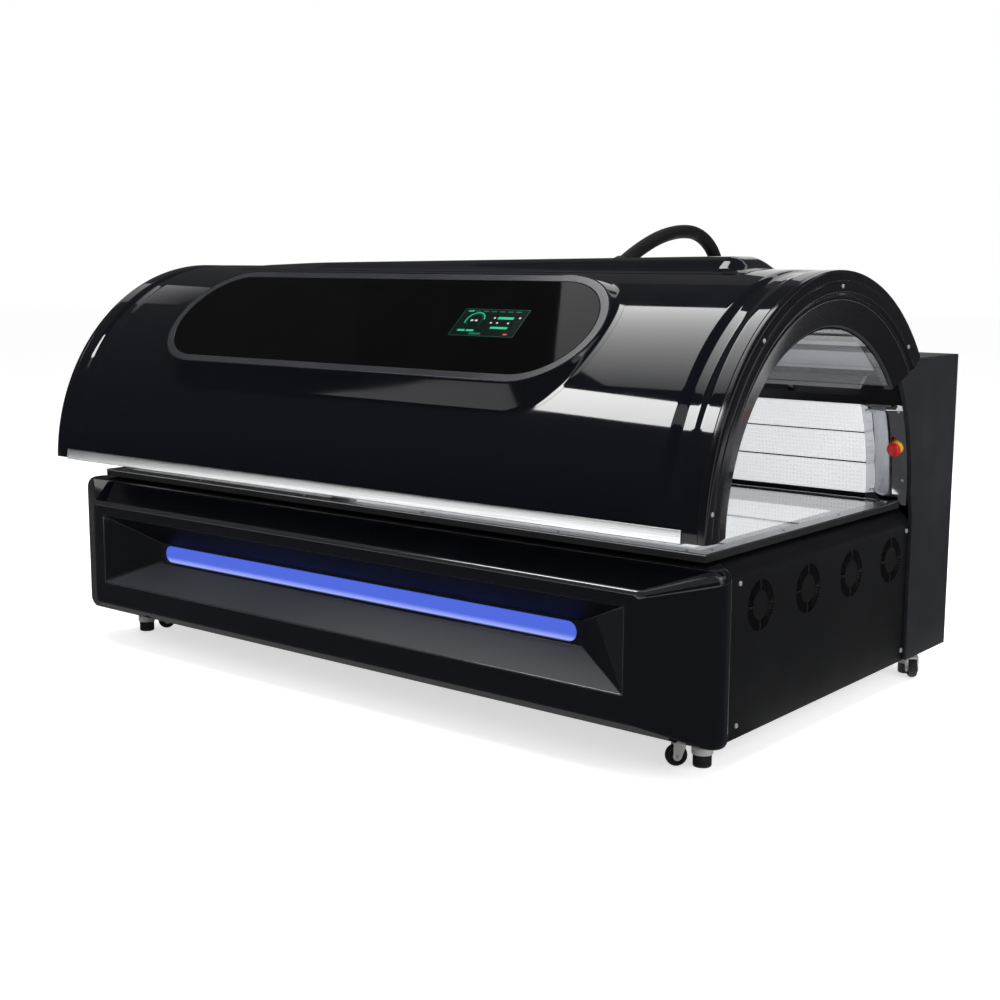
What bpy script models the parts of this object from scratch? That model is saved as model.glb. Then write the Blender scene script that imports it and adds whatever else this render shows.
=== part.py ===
"""Light therapy bed: a hinged LED canopy over a lit bed, on a wheeled base with a rear cabinet.

Metres, +Z up. X runs along the bed, -Y is the front, and the origin lies on the floor under its middle.
"""
import math

import bmesh
import bpy
from mathutils import Matrix, Vector

# Fits
CLEAR = 0.0003

# Main sizes of the base
BASE_HALF = 1.000
BASE_BOTTOM = 0.066
RIM_TOP = 0.478
FASCIA_REAR_Y = -0.487
SHEET = 0.003

# Tunnel and canopy; angles turn from the front (-Y) up over the top to the rear
AXIS_Y = -0.107
AXIS_RISE = 0.023
CANOPY_OVERHANG = 0.053
CANOPY_FRONT = 2.0
CANOPY_REAR = 141.0
ARC_STEPS = 36
SHELL_RADIUS = 0.548
SHELL_WALL = 0.005
BAND_INSET = 0.0647
BAND_WIDTH = 0.046
BAND_DEPTH = 0.006
RING_DEPTH = 0.018
RING_BAND = 0.048
RING_STEP = 0.007
RING_LIP = 0.009
RING_SHEET = 0.005
RING_CHAMFER = 0.0081
RING_SEAT = 0.020
RING_WEB = 0.040
FLARE_LENGTH = 0.020
CANOPY_DEPTH = 0.128
LINER_SHEET = 0.004
TRAY_GAP = 0.0345
TRAY_SHEET = 0.003
TRAY_FACETS = 6
TRAY_INSET = 2.0
RAIL_ANGLE = 1.9
RAIL_GAP_ANGLE = 0.1
GRIP_INSET = 0.055
GRIP_HEIGHT = 0.044
GRIP_SHEET = 0.0027
GRIP_FLANGE = 0.003

# Crown housing and hose
HOUSING_RIGHT_INSET = 0.201
HOUSING_LEFT_INSET = 0.293
HOUSING_END_SLOPE = 0.030
HOUSING_TOE = 0.030
HOUSING_TAPER = 0.230
HOUSING_SIDE_SLOPE = 0.030
HOUSING_RISE = 0.029
HOUSING_LEFT_RISE = 0.0095
HOUSING_TOE_RISE = 0.002
HOUSING_SINK = 0.029
HOUSING_FRONT = 0.093
HOUSING_REAR = 0.115
HOUSING_WALL = 0.005
HOSE_X = 0.400
HOSE_RADIUS = 0.0175
GLAND_RADIUS = 0.024
GLAND_LENGTH = 0.018
GLAND_TILT = 26.0
GLAND_INSET = 0.025
GLAND_RISE = 0.002
SOCKET_FLANGE_RADIUS = 0.036
SOCKET_FLANGE = 0.005
SOCKET_HEIGHT = 0.030
HOSE_ROUTE = [
    (0.045, 1.081), (0.100, 1.104), (0.160, 1.124), (0.220, 1.137), (0.280, 1.143), (0.335, 1.140),
    (0.386, 1.124), (0.428, 1.095), (0.456, 1.054), (0.468, 1.005), (0.470, 0.950), (0.470, 0.905),
]
HOSE_END_Y = 0.470
HOSE_SAMPLES = 2

# Display on the canopy front
DISPLAY_X = -0.025
DISPLAY_ANGLE = 49.0
DISPLAY_STAND = 0.008
GLASS_HALF = 0.673
GLASS_HALF_HEIGHT = 0.150
GLASS_SHEET = 0.0045
BEZEL_BORDER = 0.0235
SKIRT_BORDER = 0.064
BEZEL_WALL = 0.005
SKIRT_DEPTH = 0.075
SCREEN_INSET = 0.292
SCREEN_RISE = 0.007
SCREEN_WIDTH = 0.192
SCREEN_HEIGHT = 0.092
SCREEN_SHEET = 0.002

# Pan, beams, deck and rims
PAN_HEIGHT = 0.030
PAN_FLOOR = 0.003
PAN_WALL = 0.004
BEAM_INSET = 0.070
BEAM_SHEET = 0.004
BEAM_FLANGE = 0.050
FRONT_BEAM_INSET = 0.087
REAR_BEAM_RISE = 0.019
DECK_INSET = 0.050
DECK_REAR_GAP = 0.013
DECK_DEPTH = 0.040
DECK_FLOOR = 0.006
DECK_WALL = 0.020
RIM_INSET = 0.015
RIM_REACH = 0.051
RIM_HEIGHT = 0.018
RIM_LIP = 0.035
RIM_LEDGE = 0.035
BED_SHEET = 0.008
BED_SHEET_DROP = 0.002
BOARD = 0.006
BOARD_STRIPS = 8
STRIP_GROOVE = 0.004

# Front fascia and light bar
FASCIA_DEPTH = 0.160
FASCIA_BEND = 0.074
FASCIA_RETURN = 0.030
FASCIA_OVERHANG = 0.047
FASCIA_DRAFT = 0.002
FASCIA_INSET = 0.100
FASCIA_REAR_DROP = 0.004
FASCIA_BEND_DROP = 0.002
FASCIA_TOP_DROP = 0.048
FASCIA_BEND_RISE = 0.012
FASCIA_BOTTOM_RISE = 0.047
FASCIA_ROUND = 0.012
FASCIA_WALL = 0.004
RECESS_SIDE = 0.038
RECESS_TOP_BORDER = 0.034
RECESS_BOTTOM_BORDER = 0.060
RECESS_DEPTH = 0.073
RECESS_SIDE_TAPER = 0.156
RECESS_FLOOR_BORDER = 0.006
BAR_END_GAP = 0.016
BAR_RADIUS = 0.02225
BAR_RISE = 0.09075
BAR_DEPTH = 0.018
BAR_SINK = 0.002

# End panels and fans
SEAM_GAP = 0.002
SEAM_SET = 0.016
PANEL_BEND = 0.045
PANEL_DROP = 0.005
FAN_DROP = 0.115
FAN_FRONT_MARGIN = 0.155
FAN_REAR_MARGIN = 0.0995
FAN_COUNT = 4
FAN_SIZE = 0.120
FAN_DEPTH = 0.025
FAN_BORE = 0.0565
FAN_WEB = 0.004
FAN_HUB = 0.020
FAN_AXLE = 0.004
FAN_ARMS = 3
FAN_ARM_WIDTH = 0.008
BLADE_COUNT = 7
BLADE_GAP = 0.003
BLADE_SHEET = 0.0016
BLADE_CHORD = 0.018
BLADE_PITCH = 35.0
SLOT_COUNT = 24
SLOT_INNER = 0.0315
SLOT_OUTER = 0.0560
SLOT_WIDTH = 0.0052

# Rear cabinet and back wall; elevations rise from the horizontal behind the tunnel axis
CABINET_PROUD = 0.008
CABINET_DEPTH = 0.217
SEAM_BEND_DROP = 0.061
PLATE_STEP = 0.043
WALL_SHEET = 0.0022
WALL_LOW = -4.0
WALL_HIGH = 38.0
COVER_LIP = 0.03426
TRIM_SHEET = 0.002
TRIM_HIGH = 25.5
TRIM_WIDTH = 0.113
WALL_BOARD_LOW = -1.8
WALL_BOARD_HIGH = 25.3
WALL_BOARD_ROWS = 3
WALL_BOARD_SHEET = 0.003
SUPPLY_SIZE = (0.500, 0.100, 0.120)
SUPPLY_INSET = 0.118
INLET_INSET = 0.250
INLET_Z = 0.160
INLET_SIZE = (0.048, 0.028)
INLET_FLANGE = 0.006
INLET_DEPTH = 0.040
SOCKET_WALL = 0.005
SOCKET_DEPTH = 0.022

# Emergency stop
STOP_INSET = 0.027
STOP_ELEVATION = 12.7
STOP_COLLAR_RADIUS = 0.0165
STOP_COLLAR_LENGTH = 0.012
STOP_HEAD_RADIUS = 0.0180
STOP_HEAD_LENGTH = 0.013
STOP_STEM_RADIUS = 0.0060
STOP_TRAVEL = 0.004

# Canopy hinge and gas springs
PIVOT_BACK = 0.117
PIVOT_RISE = 0.239
PIN_RADIUS = 0.010
BOSS_RADIUS = 0.028
ARM_INSET = 0.300
ARM_SHEET = 0.012
ARM_WIDTH = 0.060
ARM_SHELL_GAP = 0.013
ARM_END = 127.0
ARM_SLOT_GAP = 0.003
POST_SHEET = 0.012
POST_GAP = 0.002
POST_REACH = 0.042
SPRING_LEVER = 0.120
SPRING_SWING = 45.0
STUD_RADIUS = 0.005
STUD_LENGTH = 0.008
SPRING_RADIUS = 0.014
SPRING_FOOT_RADIUS = 0.024
SPRING_FOOT = 0.006
SPRING_TOP = 0.560
SPRING_ROD_RADIUS = 0.006
SPRING_ROD_LOW = 0.200
SPRING_EYE_RADIUS = 0.012
SPRING_EYE_SHEET = 0.010

# Levelling casters
CASTER_FRONT_INSET_X = 0.063
CASTER_FRONT_INSET_Y = 0.036
CASTER_REAR_INSET_X = 0.045
CASTER_REAR_INSET_Y = 0.118
CASTER_TRAIL = 0.057
CASTER_PLATE_RADIUS = 0.027
CASTER_PLATE = 0.006
CASTER_FORK_WIDTH = 0.030
WHEEL_RADIUS = 0.024
WHEEL_WIDTH = 0.020
WHEEL_GAP = 0.0012
WHEEL_LIFT = 0.0025
AXLE_RADIUS = 0.004
FOOT_RADIUS = 0.0235
FOOT_PAD_RADIUS = 0.0205
FOOT_PAD_CHAMFER = 0.004
FOOT_PAD_TOP = 0.028
FOOT_RING_TOP = 0.044
STEM_RADIUS = 0.006
STEM_TOP = 0.078
STEM_HOLE = 0.010
STEM_GAP = 0.0004

# Lengthwise places worked out from the sizes above
INNER_X = BASE_HALF - SHEET - CLEAR
BEAM_HALF = BASE_HALF - BEAM_INSET
DECK_HALF = BASE_HALF - DECK_INSET
RIM_HALF = BASE_HALF - RIM_INSET
FASCIA_HALF = BASE_HALF - FASCIA_INSET
FASCIA_BEND_HALF = BASE_HALF + FASCIA_OVERHANG
RECESS_HALF = FASCIA_HALF - RECESS_SIDE
RECESS_FLOOR_HALF = RECESS_HALF - RECESS_SIDE_TAPER
BAR_HALF = RECESS_FLOOR_HALF - BAR_END_GAP
TRIM_INNER_X = BASE_HALF - TRIM_WIDTH
STOP_X = BASE_HALF - STOP_INSET
ARM_X = BASE_HALF - ARM_INSET
INLET_X = BASE_HALF - INLET_INSET
CANOPY_HALF = BASE_HALF + CANOPY_OVERHANG
SHELL_HALF = CANOPY_HALF - RING_DEPTH - CLEAR
BAND_X = SHELL_HALF - BAND_INSET
FLARE_END_X = CANOPY_HALF - RING_STEP - FLARE_LENGTH
RING_WEB_X = FLARE_END_X - RING_SEAT
GRIP_HALF = CANOPY_HALF - GRIP_INSET
HOUSING_RIGHT_X = CANOPY_HALF - HOUSING_RIGHT_INSET
HOUSING_LEFT_X = HOUSING_LEFT_INSET - CANOPY_HALF
SCREEN_MIDDLE = GLASS_HALF - SCREEN_INSET

# Radii about the tunnel's axis
RING_BAND_RADIUS = SHELL_RADIUS - RING_BAND
RING_LIP_RADIUS = RING_BAND_RADIUS - RING_STEP - RING_LIP
LINER_RADIUS = SHELL_RADIUS - CANOPY_DEPTH
RING_WEB_RADIUS = LINER_RADIUS + RING_WEB
TRAY_RADIUS = LINER_RADIUS + TRAY_GAP
PLATE_RADIUS = SHELL_RADIUS - PLATE_STEP
WALL_RADIUS = PLATE_RADIUS + TRIM_SHEET
ARM_OUTER_RADIUS = SHELL_RADIUS - SHELL_WALL - ARM_SHELL_GAP
ARM_INNER_RADIUS = ARM_OUTER_RADIUS - ARM_WIDTH

# Heights
AXIS_Z = RIM_TOP + AXIS_RISE
CROWN_Z = AXIS_Z + SHELL_RADIUS
RIM_LOW = RIM_TOP - RIM_HEIGHT
DECK_TOP = RIM_LOW - CLEAR
PANEL_TOP = RIM_LOW - PANEL_DROP
FAN_Z = PANEL_TOP - FAN_DROP
FASCIA_REAR_TOP = RIM_LOW - FASCIA_REAR_DROP
FASCIA_BEND_TOP = FASCIA_REAR_TOP - FASCIA_BEND_DROP
FASCIA_TOP = FASCIA_BEND_TOP - FASCIA_TOP_DROP
FASCIA_BEND_BOTTOM = BASE_BOTTOM + FASCIA_BEND_RISE
FASCIA_BOTTOM = FASCIA_BEND_BOTTOM + FASCIA_BOTTOM_RISE
RECESS_TOP = FASCIA_TOP - RECESS_TOP_BORDER
RECESS_BOTTOM = FASCIA_BOTTOM + RECESS_BOTTOM_BORDER
BAR_Z = RECESS_BOTTOM + BAR_RISE
PAN_TOP_FACE = BASE_BOTTOM + PAN_FLOOR
REAR_BEAM_TOP = AXIS_Z + REAR_BEAM_RISE
SEAM_BEND_Z = AXIS_Z - SEAM_BEND_DROP
PIVOT_Z = AXIS_Z + PIVOT_RISE
GLAND_Z = CROWN_Z + GLAND_RISE
CABINET_TOP = AXIS_Z + (PLATE_RADIUS + COVER_LIP) * math.sin(math.radians(WALL_HIGH))
LEVER_Z = PIVOT_Z - SPRING_LEVER * math.sin(math.radians(SPRING_SWING / 2))

# Places from front to rear
FASCIA_FRONT_Y = FASCIA_REAR_Y - FASCIA_DEPTH
FASCIA_BEND_Y = FASCIA_REAR_Y - FASCIA_BEND
RIM_FRONT_Y = FASCIA_REAR_Y - RIM_REACH
DECK_FRONT_Y = FASCIA_REAR_Y + CLEAR
FRONT_BEAM_Y = FASCIA_REAR_Y + FRONT_BEAM_INSET
DECK_REAR_Y = AXIS_Y + PLATE_RADIUS - DECK_REAR_GAP
SEAM_Y = AXIS_Y + PLATE_RADIUS + SEAM_SET
REAR_Y = AXIS_Y + SHELL_RADIUS + CABINET_DEPTH
SUPPLY_Y = REAR_Y - SUPPLY_INSET
PIVOT_Y = AXIS_Y + SHELL_RADIUS + PIVOT_BACK
POST_FOOT_Y = PIVOT_Y + POST_REACH
LEVER_Y = PIVOT_Y - SPRING_LEVER * math.cos(math.radians(SPRING_SWING / 2))
COVER_FRONT_Y = AXIS_Y + (PLATE_RADIUS + COVER_LIP) * math.cos(math.radians(WALL_HIGH))
HOUSING_FRONT_Y = AXIS_Y - HOUSING_FRONT
HOUSING_REAR_Y = AXIS_Y + HOUSING_REAR
GLAND_Y = HOUSING_REAR_Y - GLAND_INSET
FAN_FIRST_Y = FASCIA_REAR_Y + FAN_FRONT_MARGIN
FAN_PITCH = (SEAM_Y - FAN_REAR_MARGIN - FAN_FIRST_Y) / (FAN_COUNT - 1)
BLADE_TIP = FAN_BORE - BLADE_GAP
DISPLAY_TILT = math.radians(90.0 - DISPLAY_ANGLE)

PARTS = None
CUTTERS = None
FINISHES = {}


def polar(radius, degrees):
    """Point (y, z) on the tunnel's section, at an angle from the front."""
    turn = math.radians(degrees)
    return AXIS_Y - radius * math.cos(turn), AXIS_Z + radius * math.sin(turn)


def behind(radius, elevation):
    """Point (y, z) on the tunnel's section, at an elevation behind the axis."""
    return polar(radius, 180.0 - elevation)


def arc(centre, radius, start, end, steps):
    """Points of a circular arc in a plane, angles in degrees."""
    turns = [math.radians(start + (end - start) * i / steps) for i in range(steps + 1)]
    return [(centre[0] + radius * math.cos(t), centre[1] + radius * math.sin(t)) for t in turns]


def stadium(half_length, radius, steps=10):
    """Closed outline of a bar with round ends, centred on the origin."""
    reach = half_length - radius
    return arc((reach, 0), radius, -90, 90, steps) + arc((-reach, 0), radius, 90, 270, steps)


def mirrored(points):
    return [(-x, y) for x, y in points]


# Frames that stand a flat outline up: its own x, y and z become these world directions
ALONG_X = Matrix(((0, 0, 1, 0), (1, 0, 0, 0), (0, 1, 0, 0), (0, 0, 0, 1)))
ALONG_Y = Matrix(((1, 0, 0, 0), (0, 0, -1, 0), (0, 1, 0, 0), (0, 0, 0, 1)))


def at(x, y, z):
    return Matrix.Translation((x, y, z))


def finished_mesh(name, bm):
    bmesh.ops.remove_doubles(bm, verts=bm.verts, dist=1e-6)
    bmesh.ops.recalc_face_normals(bm, faces=bm.faces)
    mesh = bpy.data.meshes.new(name)
    bm.to_mesh(mesh)
    bm.free()
    return mesh


def box_mesh(name, low, high):
    bm = bmesh.new()
    low, high = Vector(low), Vector(high)
    size = Matrix.Diagonal((*(high - low), 1.0))
    bmesh.ops.create_cube(bm, size=1.0, matrix=at(*((low + high) / 2)) @ size)
    return finished_mesh(name, bm)


def cylinders_mesh(name, radius, length, frames, segments=24):
    """Cylinders centred on each frame's origin, along its own z."""
    bm = bmesh.new()
    for frame in frames:
        bmesh.ops.create_cone(bm, cap_ends=True, segments=segments, radius1=radius, radius2=radius,
                              depth=length, matrix=frame)
    return finished_mesh(name, bm)


def hull_mesh(name, points):
    bm = bmesh.new()
    for point in points:
        bm.verts.new(point)
    bmesh.ops.convex_hull(bm, input=bm.verts)
    bmesh.ops.dissolve_limit(bm, angle_limit=math.radians(0.5), verts=bm.verts, edges=bm.edges)
    return finished_mesh(name, bm)


def evaluated_mesh(name, piece):
    mesh = bpy.data.meshes.new_from_object(piece.evaluated_get(bpy.context.evaluated_depsgraph_get()))
    mesh.name = name
    return mesh


def outline_mesh(name, outlines, thickness, frame):
    """A flat outline, with any holes after it, thickened both ways from the frame's own xy plane."""
    curve = bpy.data.curves.new(name, "CURVE")
    curve.dimensions = "2D"
    curve.fill_mode = "BOTH"
    curve.extrude = thickness / 2
    for outline in outlines:
        spline = curve.splines.new("POLY")
        spline.points.add(len(outline) - 1)
        for point, (x, y) in zip(spline.points, outline):
            point.co = (x, y, 0.0, 1.0)
        spline.use_cyclic_u = True
    sketch = bpy.data.objects.new(name, curve)
    CUTTERS.objects.link(sketch)
    bm = bmesh.new()
    flat = evaluated_mesh(name, sketch)
    bm.from_mesh(flat)
    bm.transform(frame)
    bpy.data.objects.remove(sketch)
    bpy.data.curves.remove(curve)
    bpy.data.meshes.remove(flat)
    return finished_mesh(name, bm)


def swept_mesh(name, profile, start, end, steps):
    """A closed profile of (x, radius) points, swung about the tunnel's axis."""
    bm = bmesh.new()
    corners = []
    for x, radius in profile:
        y, z = polar(radius, start)
        corners.append(bm.verts.new((x, y, z)))
    bm.faces.new(corners)
    bmesh.ops.spin(bm, geom=bm.verts[:] + bm.edges[:] + bm.faces[:], cent=(0, AXIS_Y, AXIS_Z),
                   axis=(-1, 0, 0), angle=math.radians(end - start), steps=steps)
    return finished_mesh(name, bm)


def turned_mesh(name, profile, closed=False):
    """The half outline of a turned piece as (radius, height) points, running down its outer side."""
    mesh = bpy.data.meshes.new(name)
    edges = [(i, i + 1) for i in range(len(profile) - 1)]
    if closed:
        edges.append((len(profile) - 1, 0))
    mesh.from_pydata([(radius, 0.0, height) for radius, height in profile], edges, [])
    return mesh


def add_part(name, mesh, finish, frame=None, pivot=None, smooth=30.0):
    """Puts a mesh in the model as one named sub-part, under its joint's empty where it moves."""
    part = bpy.data.objects.new(name, mesh)
    PARTS.objects.link(part)
    if not mesh.materials:
        mesh.materials.append(FINISHES[finish])
    if len(mesh.polygons):
        mesh.shade_smooth()
        mesh.set_sharp_from_angle(angle=math.radians(smooth))
    world = frame or Matrix()
    if pivot:
        part.parent = pivot
        world = pivot.matrix_basis.inverted() @ world
    part.matrix_basis = world
    return part


def add_turned(name, profile, finish, frame, pivot=None, closed=False, segments=24):
    part = add_part(name, turned_mesh(name, profile, closed), finish, frame, pivot)
    screw = part.modifiers.new("turn", "SCREW")
    screw.steps = segments
    screw.render_steps = segments
    screw.use_merge_vertices = True
    screw.merge_threshold = 1e-5
    return part


def add_pivot(name, location):
    pivot = bpy.data.objects.new(name, None)
    pivot.empty_display_size = 0.05
    PARTS.objects.link(pivot)
    pivot.matrix_basis = at(*location)
    return pivot


def boolean(part, mesh, operation):
    """Cuts a mesh out of a part, or joins it on, with a live modifier."""
    tool = bpy.data.objects.new(part.name + "_" + mesh.name, mesh)
    CUTTERS.objects.link(tool)
    tool.hide_render = True
    tool.display_type = "WIRE"
    if part.parent:
        tool.parent = part.parent
        tool.matrix_basis = part.parent.matrix_basis.inverted()
    step = part.modifiers.new(mesh.name, "BOOLEAN")
    step.operation = operation
    step.object = tool


def cut(part, mesh):
    boolean(part, mesh, "DIFFERENCE")


def join(part, mesh):
    boolean(part, mesh, "UNION")


def baked(name, part):
    """The part's finished shape as a plain mesh that copies can share; the part itself is removed."""
    mesh = evaluated_mesh(name, part)
    bpy.data.objects.remove(part)
    return mesh


def add_finish(name, colour, roughness, metallic=0.0, alpha=1.0, glow=0.0):
    finish = bpy.data.materials.new(name)
    finish.use_nodes = True
    shader = finish.node_tree.nodes["Principled BSDF"]
    shader.inputs["Base Color"].default_value = (*colour, 1.0)
    shader.inputs["Roughness"].default_value = roughness
    shader.inputs["Metallic"].default_value = metallic
    shader.inputs["Alpha"].default_value = alpha
    shader.inputs["Emission Color"].default_value = (*colour, 1.0)
    shader.inputs["Emission Strength"].default_value = glow
    FINISHES[name] = finish


def make_finishes():
    add_finish("gloss_black", (0.006, 0.007, 0.012), 0.06)
    add_finish("satin_black", (0.016, 0.017, 0.020), 0.38)
    add_finish("ring_black", (0.012, 0.013, 0.016), 0.22)
    add_finish("cabinet_grey", (0.038, 0.040, 0.050), 0.45)
    add_finish("frame_steel", (0.10, 0.10, 0.11), 0.5, 1.0)
    add_finish("aluminium", (0.80, 0.81, 0.83), 0.25, 1.0)
    add_finish("mirror_steel", (0.72, 0.73, 0.75), 0.05, 1.0)
    add_finish("rim_steel", (0.45, 0.46, 0.48), 0.28, 1.0)
    add_finish("led_white", (0.82, 0.82, 0.84), 0.45)
    add_finish("clear_sheet", (0.92, 0.94, 0.96), 0.04, 0.0, 0.25)
    add_finish("display_black", (0.004, 0.004, 0.005), 0.08)
    add_finish("screen_green", (0.004, 0.030, 0.020), 0.15)
    add_finish("light_blue", (0.09, 0.17, 0.85), 0.30, 0.0, 1.0, 1.0)
    add_finish("hose_black", (0.010, 0.010, 0.011), 0.65)
    add_finish("caster_grey", (0.60, 0.60, 0.58), 0.45)
    add_finish("rubber_black", (0.012, 0.012, 0.012), 0.70)
    add_finish("stop_red", (0.62, 0.012, 0.010), 0.30)
    add_finish("stop_yellow", (0.85, 0.52, 0.02), 0.35)
    add_finish("matte_black", (0.014, 0.014, 0.015), 0.50)


def make_floor_pan():
    low = (-INNER_X, FASCIA_REAR_Y + CLEAR, BASE_BOTTOM)
    high = (INNER_X, REAR_Y - SHEET - CLEAR, BASE_BOTTOM + PAN_HEIGHT)
    pan = add_part("floor_pan", box_mesh("pan", low, high), "frame_steel")
    pocket_low = (low[0] + PAN_WALL, low[1] + PAN_WALL, PAN_TOP_FACE)
    pocket_high = (high[0] - PAN_WALL, high[1] - PAN_WALL, high[2] + PAN_HEIGHT)
    cut(pan, box_mesh("pocket", pocket_low, pocket_high))
    holes = [at(x, y, BASE_BOTTOM) for x, y in caster_places()]
    cut(pan, cylinders_mesh("stem_holes", STEM_HOLE, 4 * PAN_FLOOR, holes, 16))


def make_front_beam():
    low, high = PAN_TOP_FACE + CLEAR, DECK_TOP - DECK_DEPTH - CLEAR
    y = FRONT_BEAM_Y
    web, flange = y + BEAM_SHEET, y + BEAM_FLANGE
    section = [(y, low), (flange, low), (flange, low + BEAM_SHEET), (web, low + BEAM_SHEET),
               (web, high - BEAM_SHEET), (flange, high - BEAM_SHEET), (flange, high), (y, high)]
    add_part("front_beam", outline_mesh("channel", [section], 2 * BEAM_HALF, ALONG_X), "frame_steel")


def make_rear_frame():
    """Welded beam behind the bed, with a post and pin for each hinge arm."""
    low, seat = PAN_TOP_FACE + CLEAR, DECK_TOP - DECK_DEPTH - CLEAR
    front = AXIS_Y + WALL_RADIUS + WALL_SHEET + CLEAR
    back = front + BEAM_SHEET
    reach = front - BEAM_FLANGE
    upper, lower = seat - BEAM_SHEET, low + BEAM_SHEET
    section = [(reach, low), (back, low), (back, REAR_BEAM_TOP), (front, REAR_BEAM_TOP), (front, seat),
               (reach, seat), (reach, upper), (front, upper), (front, lower), (reach, lower)]
    frame = add_part("rear_frame", outline_mesh("beam", [section], 2 * BEAM_HALF, ALONG_X), "frame_steel")
    boss = arc((PIVOT_Y, PIVOT_Z), BOSS_RADIUS, 0, 180, 12)
    outline = [(front + BEAM_SHEET / 2, low), (POST_FOOT_Y, low)] + boss + [(front + BEAM_SHEET / 2, seat)]
    post_x = ARM_X - ARM_SHEET / 2 - POST_GAP - POST_SHEET / 2
    pin_length = POST_SHEET + POST_GAP + ARM_SHEET
    for side, name in ((1, "right"), (-1, "left")):
        frame_x = at(side * post_x, 0, 0) @ ALONG_X
        join(frame, outline_mesh("post_" + name, [outline], POST_SHEET, frame_x))
        pin_x = side * (post_x - POST_SHEET / 2 + pin_length / 2 + POST_SHEET / 4)
        pin = at(pin_x, PIVOT_Y, PIVOT_Z) @ Matrix.Rotation(math.pi / 2, 4, "Y")
        join(frame, cylinders_mesh("pin_" + name, PIN_RADIUS, pin_length, [pin]))


def make_bed_deck():
    low = (-DECK_HALF, DECK_FRONT_Y, DECK_TOP - DECK_DEPTH)
    high = (DECK_HALF, DECK_REAR_Y, DECK_TOP)
    deck = add_part("bed_deck", box_mesh("deck", low, high), "matte_black")
    inner_low = (low[0] + DECK_WALL, low[1] + DECK_WALL, low[2] + DECK_FLOOR)
    inner_high = (high[0] - DECK_WALL, high[1] - DECK_WALL, high[2] + DECK_DEPTH)
    cut(deck, box_mesh("pocket", inner_low, inner_high))


def make_bed_board():
    """LED board in the deck, grooved between its strips."""
    front = DECK_FRONT_Y + DECK_WALL + CLEAR
    rear = DECK_REAR_Y - DECK_WALL - CLEAR
    low = DECK_TOP - DECK_DEPTH + DECK_FLOOR + CLEAR
    top = low + BOARD
    pitch = (rear - front) / BOARD_STRIPS
    section = [(rear, low), (front, low), (front, top)]
    for i in range(1, BOARD_STRIPS):
        y = front + i * pitch
        section += [(y - STRIP_GROOVE / 2, top), (y - STRIP_GROOVE / 2, top - BOARD / 2),
                    (y + STRIP_GROOVE / 2, top - BOARD / 2), (y + STRIP_GROOVE / 2, top)]
    section.append((rear, top))
    length = 2 * (DECK_HALF - DECK_WALL - CLEAR)
    add_part("bed_led_board", outline_mesh("board", [section], length, ALONG_X), "led_white")


def make_bed_rims():
    low = RIM_LOW
    ledge = RIM_TOP - BED_SHEET_DROP - BED_SHEET - CLEAR
    width = RIM_LIP + RIM_LEDGE
    profile = [(0, low), (width, low), (width, ledge), (RIM_LIP, ledge), (RIM_LIP, RIM_TOP), (0, RIM_TOP)]
    front = [(RIM_FRONT_Y + y, z) for y, z in profile]
    add_part("bed_rim_front", outline_mesh("rim", [front], 2 * RIM_HALF, ALONG_X), "rim_steel")
    start = RIM_FRONT_Y + width + CLEAR
    side = [(RIM_HALF - x, z) for x, z in profile]
    place = at(0, (start + DECK_REAR_Y) / 2, 0) @ ALONG_Y
    length = DECK_REAR_Y - start
    add_part("bed_rim_right", outline_mesh("rim", [side], length, place), "rim_steel")
    add_part("bed_rim_left", outline_mesh("rim", [mirrored(side)], length, place), "rim_steel")


def make_bed_sheet():
    reach = RIM_HALF - RIM_LIP - CLEAR
    top = RIM_TOP - BED_SHEET_DROP
    low = (-reach, RIM_FRONT_Y + RIM_LIP + CLEAR, top - BED_SHEET)
    add_part("bed_clear_sheet", box_mesh("sheet", low, (reach, DECK_REAR_Y, top)), "clear_sheet")


def recess_corners(y):
    """Corners of the tapering front recess where it crosses a plane of constant y."""
    share = (y - FASCIA_FRONT_Y) / RECESS_DEPTH
    floor_half = BAR_RADIUS + RECESS_FLOOR_BORDER
    half = RECESS_HALF + (RECESS_FLOOR_HALF - RECESS_HALF) * share
    low = RECESS_BOTTOM + (BAR_Z - floor_half - RECESS_BOTTOM) * share
    high = RECESS_TOP + (BAR_Z + floor_half - RECESS_TOP) * share
    return [(x, y, z) for x in (-half, half) for z in (low, high)]


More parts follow.
